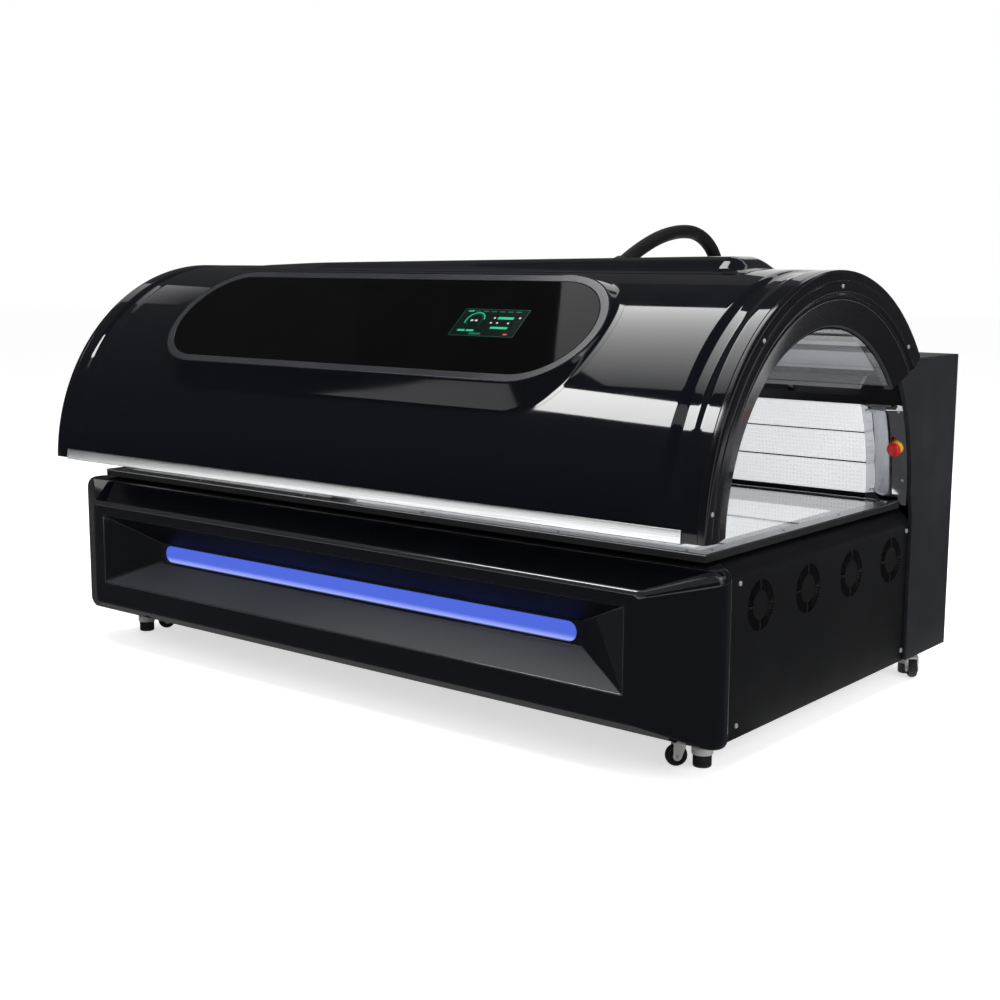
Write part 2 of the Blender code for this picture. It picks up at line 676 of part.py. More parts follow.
def make_fascia():
    """Moulded front: a hull with rounded edges, its recess cut in, opened at the back and given a wall."""
    share = FASCIA_RETURN / FASCIA_BEND
    return_bottom = FASCIA_BEND_BOTTOM + (BASE_BOTTOM - FASCIA_BEND_BOTTOM) * share
    return_top = FASCIA_BEND_TOP + (FASCIA_REAR_TOP - FASCIA_BEND_TOP) * share
    rings = ((FASCIA_HALF, FASCIA_FRONT_Y, FASCIA_BOTTOM, FASCIA_TOP),
             (FASCIA_BEND_HALF, FASCIA_BEND_Y, FASCIA_BEND_BOTTOM, FASCIA_BEND_TOP),
             (FASCIA_BEND_HALF - FASCIA_DRAFT, FASCIA_BEND_Y + FASCIA_RETURN, return_bottom, return_top),
             (BASE_HALF, FASCIA_REAR_Y, BASE_BOTTOM, FASCIA_REAR_TOP))
    corners = [(side * half, y, z) for half, y, low, high in rings for side in (-1, 1) for z in (low, high)]
    bm = bmesh.new()
    bm.from_mesh(hull_mesh("fascia", corners))
    front_edges = [edge for edge in bm.edges
                   if min(v.co.y for v in edge.verts) < FASCIA_REAR_Y - 1e-4 and edge.calc_face_angle() > 0.2
                   and max(v.co.y for v in edge.verts) < FASCIA_BEND_Y + 1e-4]
    bmesh.ops.bevel(bm, geom=front_edges, offset=FASCIA_ROUND, segments=2, profile=0.5, affect="EDGES")
    body = add_part("fascia_body", finished_mesh("fascia", bm), "gloss_black")
    ahead = FASCIA_FRONT_Y - FASCIA_ROUND
    taper = recess_corners(ahead) + recess_corners(FASCIA_FRONT_Y + RECESS_DEPTH)
    cut(body, hull_mesh("recess", taper))
    skin = bmesh.new()
    skin.from_mesh(baked("skin", body))
    rear = [face for face in skin.faces if all(abs(v.co.y - FASCIA_REAR_Y) < 1e-4 for v in face.verts)]
    bmesh.ops.delete(skin, geom=rear, context="FACES")
    fascia = add_part("front_fascia", finished_mesh("skin", skin), "gloss_black")
    wall = fascia.modifiers.new("wall", "SOLIDIFY")
    wall.thickness = FASCIA_WALL
    wall.offset = -1.0
    wall.use_even_offset = True
    edge = FASCIA_REAR_Y - CLEAR
    reach = (2 * BASE_HALF, edge + PAN_WALL, 2 * FASCIA_REAR_TOP)
    cut(fascia, box_mesh("rear_edge", (-2 * BASE_HALF, edge, 0), reach))
    slot = at(0, FASCIA_FRONT_Y + RECESS_DEPTH, BAR_Z) @ ALONG_Y
    hole = stadium(BAR_HALF + CLEAR, BAR_RADIUS + CLEAR)
    cut(fascia, outline_mesh("bar_slot", [hole], 6 * FASCIA_WALL, slot))


def make_light_bar():
    face_y = FASCIA_FRONT_Y + RECESS_DEPTH + BAR_SINK
    place = at(0, face_y + BAR_DEPTH / 2, BAR_Z) @ ALONG_Y
    bar = outline_mesh("bar", [stadium(BAR_HALF, BAR_RADIUS)], BAR_DEPTH, place)
    add_part("light_bar", bar, "light_blue")


def fan_places():
    return [FAN_FIRST_Y + i * FAN_PITCH for i in range(FAN_COUNT)]


def slots_mesh(x):
    """Radial slots of all the fan grilles in one end panel."""
    bm = bmesh.new()
    size = Matrix.Diagonal((4 * SHEET, SLOT_WIDTH, SLOT_OUTER - SLOT_INNER, 1.0))
    reach = at(0, 0, (SLOT_OUTER + SLOT_INNER) / 2)
    for y in fan_places():
        for i in range(SLOT_COUNT):
            turn = Matrix.Rotation(2 * math.pi * i / SLOT_COUNT, 4, "X")
            bmesh.ops.create_cube(bm, size=1.0, matrix=at(x, y, FAN_Z) @ turn @ reach @ size)
    return finished_mesh("slots", bm)


def make_end_panels():
    """Sheet panels with a rolled top edge, slotted for the fans."""
    centre = (BASE_HALF - PANEL_BEND, PANEL_TOP - PANEL_BEND)
    outer = [(BASE_HALF, BASE_BOTTOM)] + arc(centre, PANEL_BEND, 0, 90, 6)
    inner = arc(centre, PANEL_BEND - SHEET, 90, 0, 6) + [(BASE_HALF - SHEET, BASE_BOTTOM)]
    lip = DECK_HALF + CLEAR
    section = outer + [(lip, PANEL_TOP), (lip, PANEL_TOP - SHEET)] + inner
    front, rear = FASCIA_REAR_Y + SEAM_GAP, SEAM_Y - SEAM_GAP
    place = at(0, (front + rear) / 2, 0) @ ALONG_Y
    for side, name in ((1, "right"), (-1, "left")):
        shape = section if side > 0 else mirrored(section)
        panel = outline_mesh("panel", [shape], rear - front, place)
        panel = add_part("end_panel_" + name, panel, "satin_black")
        cut(panel, slots_mesh(side * (BASE_HALF - SHEET / 2)))


def sector(inner, outer, start, end):
    return arc((0, 0), outer, start, end, 8) + arc((0, 0), inner, end, start, 4)


def make_fan_rack():
    """Row of fan frames behind the right panel's grilles, with a spider and axle in each."""
    back, ys, reach = INNER_X - FAN_DEPTH, fan_places(), FAN_SIZE / 2
    low = (back, ys[0] - reach, FAN_Z - reach)
    rack = box_mesh("frames", low, (INNER_X, ys[-1] + reach, FAN_Z + reach))
    rack = add_part("fan_rack", rack, "matte_black")
    along = Matrix.Rotation(math.pi / 2, 4, "Y")
    bores = [at(back + FAN_WEB + FAN_DEPTH / 2, y, FAN_Z) @ along for y in ys]
    cut(rack, cylinders_mesh("bores", FAN_BORE, FAN_DEPTH, bores))
    step = 360.0 / FAN_ARMS
    half_arm = math.degrees(FAN_ARM_WIDTH / 2 / FAN_HUB)
    sectors = [sector(FAN_HUB, FAN_BORE - FAN_WEB / 2, k * step + half_arm, (k + 1) * step - half_arm)
               for k in range(FAN_ARMS)]
    gaps = [[(y + a, b) for a, b in gap] for y in ys for gap in sectors]
    cut(rack, outline_mesh("spider_gaps", gaps, 3 * FAN_WEB, at(back + FAN_WEB / 2, 0, FAN_Z) @ ALONG_X))
    axle_length = FAN_DEPTH / 2
    axles = [at(back + (FAN_WEB + axle_length) / 2, y, FAN_Z) @ along for y in ys]
    join(rack, cylinders_mesh("axles", FAN_AXLE, axle_length, axles, 12))


def make_fan_rotors():
    depth = FAN_DEPTH - 2 * FAN_WEB
    bore = FAN_AXLE + CLEAR
    cup = [(bore, depth / 2), (FAN_HUB, depth / 2), (FAN_HUB, -depth / 2), (bore, -depth / 2)]
    hub = add_turned("hub", cup, "matte_black", Matrix(), closed=True, segments=16)
    bm = bmesh.new()
    root = FAN_HUB - FAN_WEB
    size = Matrix.Diagonal((BLADE_TIP - root, BLADE_CHORD, BLADE_SHEET, 1.0))
    for i in range(BLADE_COUNT):
        turn = Matrix.Rotation(2 * math.pi * i / BLADE_COUNT, 4, "Z")
        pitch = Matrix.Rotation(math.radians(BLADE_PITCH), 4, "X")
        bmesh.ops.create_cube(bm, size=1.0, matrix=turn @ at((BLADE_TIP + root) / 2, 0, 0) @ pitch @ size)
    join(hub, finished_mesh("blades", bm))
    rotor = baked("rotor", hub)
    x = INNER_X - FAN_DEPTH + FAN_WEB + CLEAR + depth / 2
    for i, y in enumerate(fan_places()):
        pivot = add_pivot("fan_axis_%d" % (i + 1), (x, y, FAN_Z))
        frame = at(x, y, FAN_Z) @ Matrix.Rotation(math.pi / 2, 4, "Y")
        add_part("fan_rotor_%d" % (i + 1), rotor, "matte_black", frame, pivot)


def make_cabinet_ends():
    edge = [behind(PLATE_RADIUS, WALL_HIGH * (1 - i / 10)) for i in range(11)]
    outline = edge + [(SEAM_Y, SEAM_BEND_Z), (SEAM_Y, BASE_BOTTOM), (REAR_Y, BASE_BOTTOM),
                      (REAR_Y, CABINET_TOP), (COVER_FRONT_Y, CABINET_TOP)]
    thickness = SHEET + CABINET_PROUD
    for side, name in ((1, "right"), (-1, "left")):
        place = at(side * (BASE_HALF - SHEET + thickness / 2), 0, 0) @ ALONG_X
        add_part("cabinet_end_" + name, outline_mesh("plate", [outline], thickness, place), "cabinet_grey")


def arm_slots(name, low, high):
    """Cutters around both hinge arms, between two (y, z) corners."""
    half = ARM_SHEET / 2 + ARM_SLOT_GAP
    bm = bmesh.new()
    for side in (-1, 1):
        middle = ((side * ARM_X), (low[0] + high[0]) / 2, (low[1] + high[1]) / 2)
        size = Matrix.Diagonal((2 * half, high[0] - low[0], high[1] - low[1], 1.0))
        bmesh.ops.create_cube(bm, size=1.0, matrix=at(*middle) @ size)
    return finished_mesh(name, bm)


def make_cabinet_cover():
    """Folded sheet: back, top and a short front lip, slotted for the hinge arms and the mains inlet."""
    lip = behind(WALL_RADIUS + WALL_SHEET + CLEAR, WALL_HIGH)
    rear, top = REAR_Y, CABINET_TOP
    section = [(rear, BASE_BOTTOM), (rear, top), (COVER_FRONT_Y, top), lip,
               (lip[0] + SHEET, lip[1] - SHEET / 2), (COVER_FRONT_Y + SHEET / 2, top - SHEET),
               (rear - SHEET, top - SHEET), (rear - SHEET, BASE_BOTTOM)]
    cover = add_part("cabinet_cover", outline_mesh("cover", [section], 2 * INNER_X, ALONG_X), "cabinet_grey")
    cut(cover, arm_slots("arm_slots", (lip[0] - SHEET, lip[1] - 2 * SHEET), (PIVOT_Y, top + SHEET)))
    cut(cover, inlet_block("inlet_hole", CLEAR, rear - 3 * SHEET, rear + SHEET))


def make_back_wall():
    profile = [(-INNER_X, WALL_RADIUS), (INNER_X, WALL_RADIUS), (INNER_X, WALL_RADIUS + WALL_SHEET),
               (-INNER_X, WALL_RADIUS + WALL_SHEET)]
    wall = swept_mesh("wall", profile, 180 - WALL_HIGH, 180 - WALL_LOW, 12)
    wall = add_part("back_wall", wall, "satin_black")
    corner = behind(WALL_RADIUS, WALL_HIGH)
    notch = ARM_WIDTH + ARM_SHEET
    low = (corner[0] - notch, corner[1] - notch)
    cut(wall, arm_slots("arm_slots", low, (corner[0] + notch, corner[1] + notch)))


def make_wall_board():
    """Three rows of LED boards, flat between their joints."""
    outer = WALL_RADIUS - CLEAR
    step = (WALL_BOARD_HIGH - WALL_BOARD_LOW) / WALL_BOARD_ROWS
    joints = [WALL_BOARD_LOW + i * step for i in range(WALL_BOARD_ROWS + 1)]
    section = [behind(outer, e) for e in joints]
    section += [behind(outer - WALL_BOARD_SHEET, e) for e in reversed(joints)]
    length = 2 * (TRIM_INNER_X - CLEAR)
    add_part("back_led_board", outline_mesh("rows", [section], length, ALONG_X), "led_white")


def make_end_trims():
    outer, inner = WALL_RADIUS - CLEAR, WALL_RADIUS - TRIM_SHEET
    for side, name in ((1, "right"), (-1, "left")):
        ends = (side * TRIM_INNER_X, side * INNER_X)
        profile = [(ends[0], inner), (ends[1], inner), (ends[1], outer), (ends[0], outer)]
        trim = swept_mesh("trim", profile, 180 - TRIM_HIGH, 180 - WALL_LOW, 10)
        add_part("end_trim_" + name, trim, "mirror_steel")


def stop_frame(distance):
    """Frame on the stop button's axis, its z pointing out of the wall, at a distance from the trim's face."""
    y, z = behind(WALL_RADIUS - TRIM_SHEET - distance, STOP_ELEVATION)
    tilt = math.radians(90.0 + STOP_ELEVATION)
    return at(STOP_X, y, z) @ Matrix.Rotation(tilt, 4, "X")


def make_stop_button():
    length, bore = STOP_COLLAR_LENGTH, STOP_STEM_RADIUS + CLEAR
    seat = 2 * CLEAR + STOP_COLLAR_RADIUS ** 2 / (2 * PLATE_RADIUS)
    collar = [(bore, length), (STOP_COLLAR_RADIUS * 0.86, length), (STOP_COLLAR_RADIUS, length * 0.6),
              (STOP_COLLAR_RADIUS, 0.0), (bore, 0.0)]
    add_turned("estop_collar", collar, "stop_yellow", stop_frame(seat), closed=True)
    base = length + STOP_TRAVEL + CLEAR
    top, foot = base + STOP_HEAD_LENGTH, STOP_TRAVEL + CLEAR
    head = [(0.0, top), (STOP_HEAD_RADIUS * 0.80, top), (STOP_HEAD_RADIUS, base + STOP_HEAD_LENGTH * 0.75),
            (STOP_HEAD_RADIUS, base + STOP_HEAD_LENGTH * 0.2), (STOP_HEAD_RADIUS * 0.90, base),
            (STOP_STEM_RADIUS, base), (STOP_STEM_RADIUS, foot), (0.0, foot)]
    pivot = add_pivot("stop_axis", stop_frame(seat).to_translation())
    add_turned("estop_head", head, "stop_red", stop_frame(seat), pivot)


def make_power_pieces():
    size_x, size_y, size_z = SUPPLY_SIZE
    low = PAN_TOP_FACE + CLEAR
    near, far = SUPPLY_Y - size_y / 2, SUPPLY_Y + size_y / 2
    supply = box_mesh("supply", (-size_x / 2, near, low), (size_x / 2, far, low + size_z))
    add_part("power_supply", supply, "aluminium")
    inlet = add_part("power_inlet", inlet_block("body", 0.0, REAR_Y - INLET_DEPTH, REAR_Y), "satin_black")
    face = REAR_Y - SHEET - CLEAR
    join(inlet, inlet_block("flange", INLET_FLANGE, face - SHEET, face))
    cut(inlet, inlet_block("socket", -SOCKET_WALL, REAR_Y - SOCKET_DEPTH, REAR_Y + SOCKET_DEPTH))


def inlet_block(name, border, near, far):
    """Block about the mains inlet's middle, wider than its body by a border."""
    half_x, half_z = INLET_SIZE[0] / 2 + border, INLET_SIZE[1] / 2 + border
    low = (INLET_X - half_x, near, INLET_Z - half_z)
    return box_mesh(name, low, (INLET_X + half_x, far, INLET_Z + half_z))


def band_profile(radius):
    """Shell profile at one skin, from left to right, with its pressed band near each end."""
    half, flank = BAND_WIDTH / 2, BAND_DEPTH
    right = [(BAND_X - half, radius), (BAND_X - half + flank, radius - BAND_DEPTH),
             (BAND_X + half - flank, radius - BAND_DEPTH), (BAND_X + half, radius), (SHELL_HALF, radius)]
    return [(-x, r) for x, r in reversed(right)] + right


def make_canopy_shell(pivot):
    profile = band_profile(SHELL_RADIUS) + list(reversed(band_profile(SHELL_RADIUS - SHELL_WALL)))
    shell = swept_mesh("shell", profile, CANOPY_FRONT, CANOPY_REAR, ARC_STEPS)
    add_part("canopy_shell", shell, "gloss_black", pivot=pivot)


def make_end_rings(pivot):
    """Rings that close the canopy's ends: band, step, and a flare in to the clear liner."""
    end, back = CANOPY_HALF, CANOPY_HALF - RING_DEPTH
    bead = SHELL_RADIUS - RING_CHAMFER
    step_x = end - RING_STEP
    inside_x = step_x - RING_STEP
    web_x = RING_WEB_X + RING_SHEET
    seat = LINER_RADIUS + LINER_SHEET + CLEAR
    profile = [(back, SHELL_RADIUS), (end - RING_CHAMFER, SHELL_RADIUS), (end, bead), (end, RING_BAND_RADIUS),
               (step_x, RING_BAND_RADIUS - RING_STEP), (step_x, RING_LIP_RADIUS), (FLARE_END_X, seat),
               (RING_WEB_X, seat), (RING_WEB_X, RING_WEB_RADIUS), (web_x, RING_WEB_RADIUS),
               (web_x, seat + RING_SHEET), (FLARE_END_X - RING_SHEET / 2, seat + RING_SHEET),
               (inside_x, RING_LIP_RADIUS), (inside_x, bead), (back, bead)]
    for name, shape in (("right", profile), ("left", mirrored(profile))):
        ring = swept_mesh("ring", shape, CANOPY_FRONT, CANOPY_REAR, ARC_STEPS)
        add_part("canopy_end_ring_" + name, ring, "ring_black", pivot=pivot)


def make_canopy_lining(pivot):
    """Clear inner sheet, the folded LED tray behind it and the rail that closes the rear edge."""
    reach = FLARE_END_X - RING_SHEET
    inner, outer = LINER_RADIUS, LINER_RADIUS + LINER_SHEET
    rail_start = CANOPY_REAR - RAIL_ANGLE
    first, last = CANOPY_FRONT + TRAY_INSET, rail_start - RAIL_GAP_ANGLE
    sheet = [(-reach, inner), (reach, inner), (reach, outer), (-reach, outer)]
    liner = swept_mesh("liner", sheet, CANOPY_FRONT, last, ARC_STEPS)
    add_part("canopy_clear_sheet", liner, "clear_sheet", pivot=pivot)
    folds = [first + (last - first) * i / TRAY_FACETS for i in range(TRAY_FACETS + 1)]
    section = [polar(TRAY_RADIUS, a) for a in folds]
    section += [polar(TRAY_RADIUS - TRAY_SHEET, a) for a in reversed(folds)]
    length = 2 * (RING_WEB_X - CLEAR)
    add_part("canopy_led_tray", outline_mesh("tray", [section], length, ALONG_X), "led_white", pivot=pivot)
    skin = SHELL_RADIUS - SHELL_WALL - 3 * CLEAR
    half = BAND_X - BAND_WIDTH / 2 - CLEAR
    bar = [(-half, inner), (half, inner), (half, skin), (-half, skin)]
    rail = swept_mesh("rail", bar, rail_start, CANOPY_REAR, 1)
    rail = add_part("canopy_rear_rail", rail, "matte_black", pivot=pivot)
    width = ARM_SHEET / 2 + CLEAR
    bm = bmesh.new()
    for side in (-1, 1):
        corners = [polar(r, a) for a in (CANOPY_REAR - 3 * RAIL_ANGLE, CANOPY_REAR + RAIL_ANGLE)
                   for r in (ARM_INNER_RADIUS - ARM_SLOT_GAP, ARM_OUTER_RADIUS + ARM_SLOT_GAP)]
        faces = (side * ARM_X - width, side * ARM_X + width)
        notch = hull_mesh("notch", [(x, y, z) for x in faces for y, z in corners])
        bm.from_mesh(notch)
    cut(rail, finished_mesh("arm_notches", bm))


def make_grip_strip(pivot):
    """Aluminium strip on the front lower edge, with a flange that closes the canopy's wall below."""
    outer = SHELL_RADIUS + CLEAR
    start = CANOPY_FRONT - math.degrees(CLEAR / LINER_RADIUS)
    end = math.degrees(math.asin(GRIP_HEIGHT / outer))
    turns = [start + (end - start) * i / 3 for i in range(4)]
    under = start - math.degrees(GRIP_FLANGE / SHELL_RADIUS)
    section = [polar(outer, a) for a in turns] + [polar(outer + GRIP_SHEET, a) for a in reversed(turns)]
    section += [polar(outer + GRIP_SHEET, under), polar(LINER_RADIUS, under), polar(LINER_RADIUS, start)]
    add_part("grip_strip", outline_mesh("grip", [section], 2 * GRIP_HALF, ALONG_X), "aluminium", pivot=pivot)


def shell_drum(name):
    """Cylinder a clearance outside the shell, for seating what stands on it."""
    drum = at(0, AXIS_Y, AXIS_Z) @ Matrix.Rotation(math.pi / 2, 4, "Y")
    return cylinders_mesh(name, SHELL_RADIUS + 2 * CLEAR, 3 * CANOPY_HALF, [drum], 180)


def gland_frame(distance):
    """Frame on the canopy gland's axis, its z pointing the way the hose leaves."""
    turn = Matrix.Rotation(math.radians(GLAND_TILT - 90.0), 4, "X")
    return at(HOSE_X, GLAND_Y, GLAND_Z) @ turn @ at(0, 0, distance)


def housing_corners(inset):
    """Corners of the crown housing's block, which runs out to the left, drawn in by a wall's thickness."""
    stations = [
        (HOUSING_LEFT_X + inset, -HOUSING_SINK, 0.0),
        (HOUSING_LEFT_X + HOUSING_TOE + inset, HOUSING_TOE_RISE, 1.0),
        (HOUSING_LEFT_X + HOUSING_TAPER + inset, HOUSING_LEFT_RISE, 1.0),
        (HOUSING_RIGHT_X - HOUSING_END_SLOPE - inset, HOUSING_RISE, 1.0),
        (HOUSING_RIGHT_X - inset, -HOUSING_SINK, 0.0),
    ]
    corners = []
    for x, rise, slope in stations:
        front = HOUSING_FRONT_Y + slope * HOUSING_SIDE_SLOPE + inset
        rear = HOUSING_REAR_Y - slope * HOUSING_SIDE_SLOPE - inset
        corners += [(x, y, CROWN_Z + rise - inset) for y in (front, rear)]
    return corners


def make_crown_housing(pivot):
    """Hollow cover along the crown, open below, with the hose gland on its rear slope."""
    housing = hull_mesh("housing", housing_corners(0.0))
    housing = add_part("crown_housing", housing, "gloss_black", pivot=pivot)
    cut(housing, hull_mesh("inside", housing_corners(HOUSING_WALL)))
    join(housing, cylinders_mesh("gland", GLAND_RADIUS, 2 * GLAND_LENGTH, [gland_frame(0.0)], 20))
    cut(housing, shell_drum("drum"))


def display_frame(depth):
    """Frame of the display: x along the bed, y up the glass, z out of it, at a depth under its face."""
    y, z = polar(SHELL_RADIUS + DISPLAY_STAND - depth, DISPLAY_ANGLE)
    return at(DISPLAY_X, y, z) @ Matrix.Rotation(DISPLAY_TILT, 4, "X")


def skirt_points(inset, depth):
    """Two stadium outlines that the display surround's sloping skirt runs between, drawn in by its wall."""
    half, high = GLASS_HALF + BEZEL_BORDER - inset, GLASS_HALF_HEIGHT + BEZEL_BORDER - inset
    top = [display_frame(depth) @ Vector((x, y, 0)) for x, y in stadium(half, high)]
    foot = [display_frame(SKIRT_DEPTH + depth) @ Vector((x, y, 0))
            for x, y in stadium(half + SKIRT_BORDER, high + SKIRT_BORDER)]
    return top + foot


def make_display(pivot):
    """Raised surround with sloping skirt, dark glass let into it and the touch screen in the glass."""
    surround = hull_mesh("surround", skirt_points(0.0, 0.0))
    surround = add_part("display_surround", surround, "gloss_black", pivot=pivot)
    cut(surround, hull_mesh("inside", skirt_points(BEZEL_WALL, GLASS_SHEET + BEZEL_WALL)))
    cut(surround, shell_drum("drum"))
    pocket = stadium(GLASS_HALF + CLEAR, GLASS_HALF_HEIGHT + CLEAR)
    cut(surround, outline_mesh("glass_pocket", [pocket], 2 * (GLASS_SHEET + CLEAR), display_frame(0.0)))
    pane = stadium(GLASS_HALF, GLASS_HALF_HEIGHT)
    glass = outline_mesh("pane", [pane], GLASS_SHEET, display_frame(GLASS_SHEET / 2))
    glass = add_part("display_glass", glass, "display_black", pivot=pivot)
    middle, rise = SCREEN_MIDDLE, SCREEN_RISE
    for part, border, depth in ((glass, CLEAR, 2 * (SCREEN_SHEET + CLEAR)), (None, 0.0, SCREEN_SHEET)):
        reach_x, reach_y = SCREEN_WIDTH / 2 + border, SCREEN_HEIGHT / 2 + border
        outline = [(middle - reach_x, rise - reach_y), (middle + reach_x, rise - reach_y),
                   (middle + reach_x, rise + reach_y), (middle - reach_x, rise + reach_y)]
        if part:
            cut(part, outline_mesh("screen_pocket", [outline], depth, display_frame(0.0)))
        else:
            screen = outline_mesh("screen", [outline], depth, display_frame(depth / 2))
            add_part("touch_screen", screen, "screen_green", pivot=pivot)


def make_hinge_arms(pivot):
    """Flat steel arms from the canopy's wall back to the hinge pins, each with a stud for its gas spring."""
    boss = arc((PIVOT_Y, PIVOT_Z), BOSS_RADIUS, -70, 80, 8)
    lug = arc((LEVER_Y, LEVER_Z), 3 * STUD_RADIUS, 180, 300, 5)
    wall = [polar(ARM_OUTER_RADIUS, CANOPY_REAR), polar(ARM_OUTER_RADIUS, ARM_END),
            polar(ARM_INNER_RADIUS, ARM_END), polar(ARM_INNER_RADIUS, CANOPY_REAR)]
    bore = arc((PIVOT_Y, PIVOT_Z), PIN_RADIUS + CLEAR, 0, 345, 23)
    for side, name in ((1, "right"), (-1, "left")):
        place = at(side * ARM_X, 0, 0) @ ALONG_X
        arm = outline_mesh("arm", [boss + wall + lug, bore], ARM_SHEET, place)
        arm = add_part("hinge_arm_" + name, arm, "frame_steel", pivot=pivot)
        stud_x = side * (ARM_X + STUD_LENGTH / 2)
        stud = at(stud_x, LEVER_Y, LEVER_Z) @ Matrix.Rotation(math.pi / 2, 4, "Y")
        join(arm, cylinders_mesh("stud", STUD_RADIUS, ARM_SHEET + STUD_LENGTH, [stud], 12))


def make_gas_springs():
    eye_x = ARM_X + ARM_SHEET / 2 + STUD_LENGTH + CLEAR + SPRING_EYE_SHEET / 2
    low, bore = PAN_TOP_FACE + CLEAR, SPRING_ROD_RADIUS + CLEAR
    bottom, foot = SPRING_ROD_LOW - CLEAR, low + SPRING_FOOT
    barrel = [(0.0, bottom), (bore, bottom), (bore, SPRING_TOP), (SPRING_RADIUS, SPRING_TOP),
              (SPRING_RADIUS, foot), (SPRING_FOOT_RADIUS, foot), (SPRING_FOOT_RADIUS, low), (0.0, low)]
    for side, name in ((1, "right"), (-1, "left")):
        x = side * eye_x
        place = at(x, LEVER_Y, 0)
        add_turned("gas_spring_barrel_" + name, barrel, "satin_black", place, segments=16)
        pivot = add_pivot("gas_spring_axis_" + name, (x, LEVER_Y, LEVER_Z))
        top = LEVER_Z - SPRING_EYE_RADIUS * 0.6
        middle = at(x, LEVER_Y, (top + SPRING_ROD_LOW) / 2)
        rod = cylinders_mesh("rod", SPRING_ROD_RADIUS, top - SPRING_ROD_LOW, [middle], 12)
        rod = add_part("gas_spring_rod_" + name, rod, "aluminium", pivot=pivot)
        eye = at(x, LEVER_Y, LEVER_Z) @ Matrix.Rotation(math.pi / 2, 4, "Y")
        join(rod, cylinders_mesh("eye", SPRING_EYE_RADIUS, SPRING_EYE_SHEET, [eye], 16))


def caster_places():
    front = (BASE_HALF - CASTER_FRONT_INSET_X, FASCIA_REAR_Y + CASTER_FRONT_INSET_Y)
    rear = (BASE_HALF - CASTER_REAR_INSET_X, REAR_Y - CASTER_REAR_INSET_Y)
    return [(side * x, y) for x, y in (front, rear) for side in (1, -1)]


def caster_body():
    """Swivel body in its own frame: the swivel axis is z, and the wheel trails along x."""
    top = BASE_BOTTOM - CLEAR
    under = top - CASTER_PLATE
    axle_z = WHEEL_LIFT + WHEEL_RADIUS
    nose = arc((CASTER_TRAIL, axle_z), 2.4 * AXLE_RADIUS, 30, -150, 8)
    brow = (CASTER_TRAIL * 1.15, top - 1.7 * CASTER_PLATE)
    side = [(-STEM_HOLE, under), (-STEM_HOLE, top), (CASTER_TRAIL * 0.6, top), brow] + nose
    side += [(CASTER_TRAIL * 0.62, under)]
    block = add_part("fork", outline_mesh("fork", [side], CASTER_FORK_WIDTH, ALONG_Y), "caster_grey")
    gap = WHEEL_WIDTH / 2 + WHEEL_GAP
    reach = CASTER_TRAIL - WHEEL_RADIUS - WHEEL_GAP
    roof = axle_z + WHEEL_RADIUS + WHEEL_GAP
    cut(block, box_mesh("wheel_gap", (reach, -gap, -top), (2 * CASTER_TRAIL, gap, roof)))
    axle = at(CASTER_TRAIL, 0, axle_z) @ Matrix.Rotation(math.pi / 2, 4, "X")
    join(block, cylinders_mesh("axle", AXLE_RADIUS, CASTER_FORK_WIDTH - WHEEL_GAP, [axle], 12))
    plate = at(0, 0, top - CASTER_PLATE * 0.5)
    join(block, cylinders_mesh("plate", CASTER_PLATE_RADIUS, CASTER_PLATE * 0.9, [plate], 20))
    cut(block, cylinders_mesh("stem_bore", STEM_RADIUS + STEM_GAP, 4 * CASTER_PLATE, [at(0, 0, top)], 16))
    return baked("caster_body", block)


def make_casters():
    """Levelling casters: the screw foot carries the bed and the wheel hangs just clear of the floor."""
    body = caster_body()
    axle_z = WHEEL_LIFT + WHEEL_RADIUS
    bore, half = AXLE_RADIUS + CLEAR, WHEEL_WIDTH / 2
    tread = [(bore, half), (WHEEL_RADIUS * 0.80, half), (WHEEL_RADIUS, half * 0.6),
             (WHEEL_RADIUS, -half * 0.6), (WHEEL_RADIUS * 0.80, -half), (bore, -half)]
    foot = [(0.0, STEM_TOP), (STEM_RADIUS, STEM_TOP), (STEM_RADIUS, FOOT_RING_TOP),
            (FOOT_RADIUS, FOOT_RING_TOP), (FOOT_RADIUS, FOOT_PAD_TOP), (FOOT_PAD_RADIUS, FOOT_PAD_TOP),
            (FOOT_PAD_RADIUS, FOOT_PAD_CHAMFER), (FOOT_PAD_RADIUS * 0.92, 0.0), (0.0, 0.0)]
    names = ("front_right", "front_left", "rear_right", "rear_left")
    headings = (-135.0, 60.0, -51.0, -90.0)
    for name, heading, (x, y) in zip(names, headings, caster_places()):
        turn = Matrix.Rotation(math.radians(heading), 4, "Z")
        place = at(x, y, 0) @ turn
        swivel = add_pivot("caster_axis_" + name, (x, y, 0))
        add_part("caster_body_" + name, body, "caster_grey", place, swivel)
        hub = place @ at(CASTER_TRAIL, 0, axle_z) @ Matrix.Rotation(math.pi / 2, 4, "X")
        axle = add_pivot("wheel_axis_" + name, hub.to_translation())
        add_turned("caster_wheel_" + name, tread, "rubber_black", hub, axle, closed=True, segments=20)
        add_turned("caster_foot_" + name, foot, "rubber_black", at(x, y, 0), swivel, segments=20)


def smooth_route(points, samples):
    """Points of a smooth curve through the route's own points."""
    padded = [2 * points[0] - points[1]] + points + [2 * points[-1] - points[-2]]
    route = []
    for a, b, c, d in zip(padded, padded[1:], padded[2:], padded[3:]):
        for i in range(samples):
            t = i / samples
            bend = (2 * a - 5 * b + 4 * c - d) * t * t + (3 * b - a - 3 * c + d) * t ** 3
            route.append((2 * b + (c - a) * t + bend) / 2)
    return route + [points[-1]]


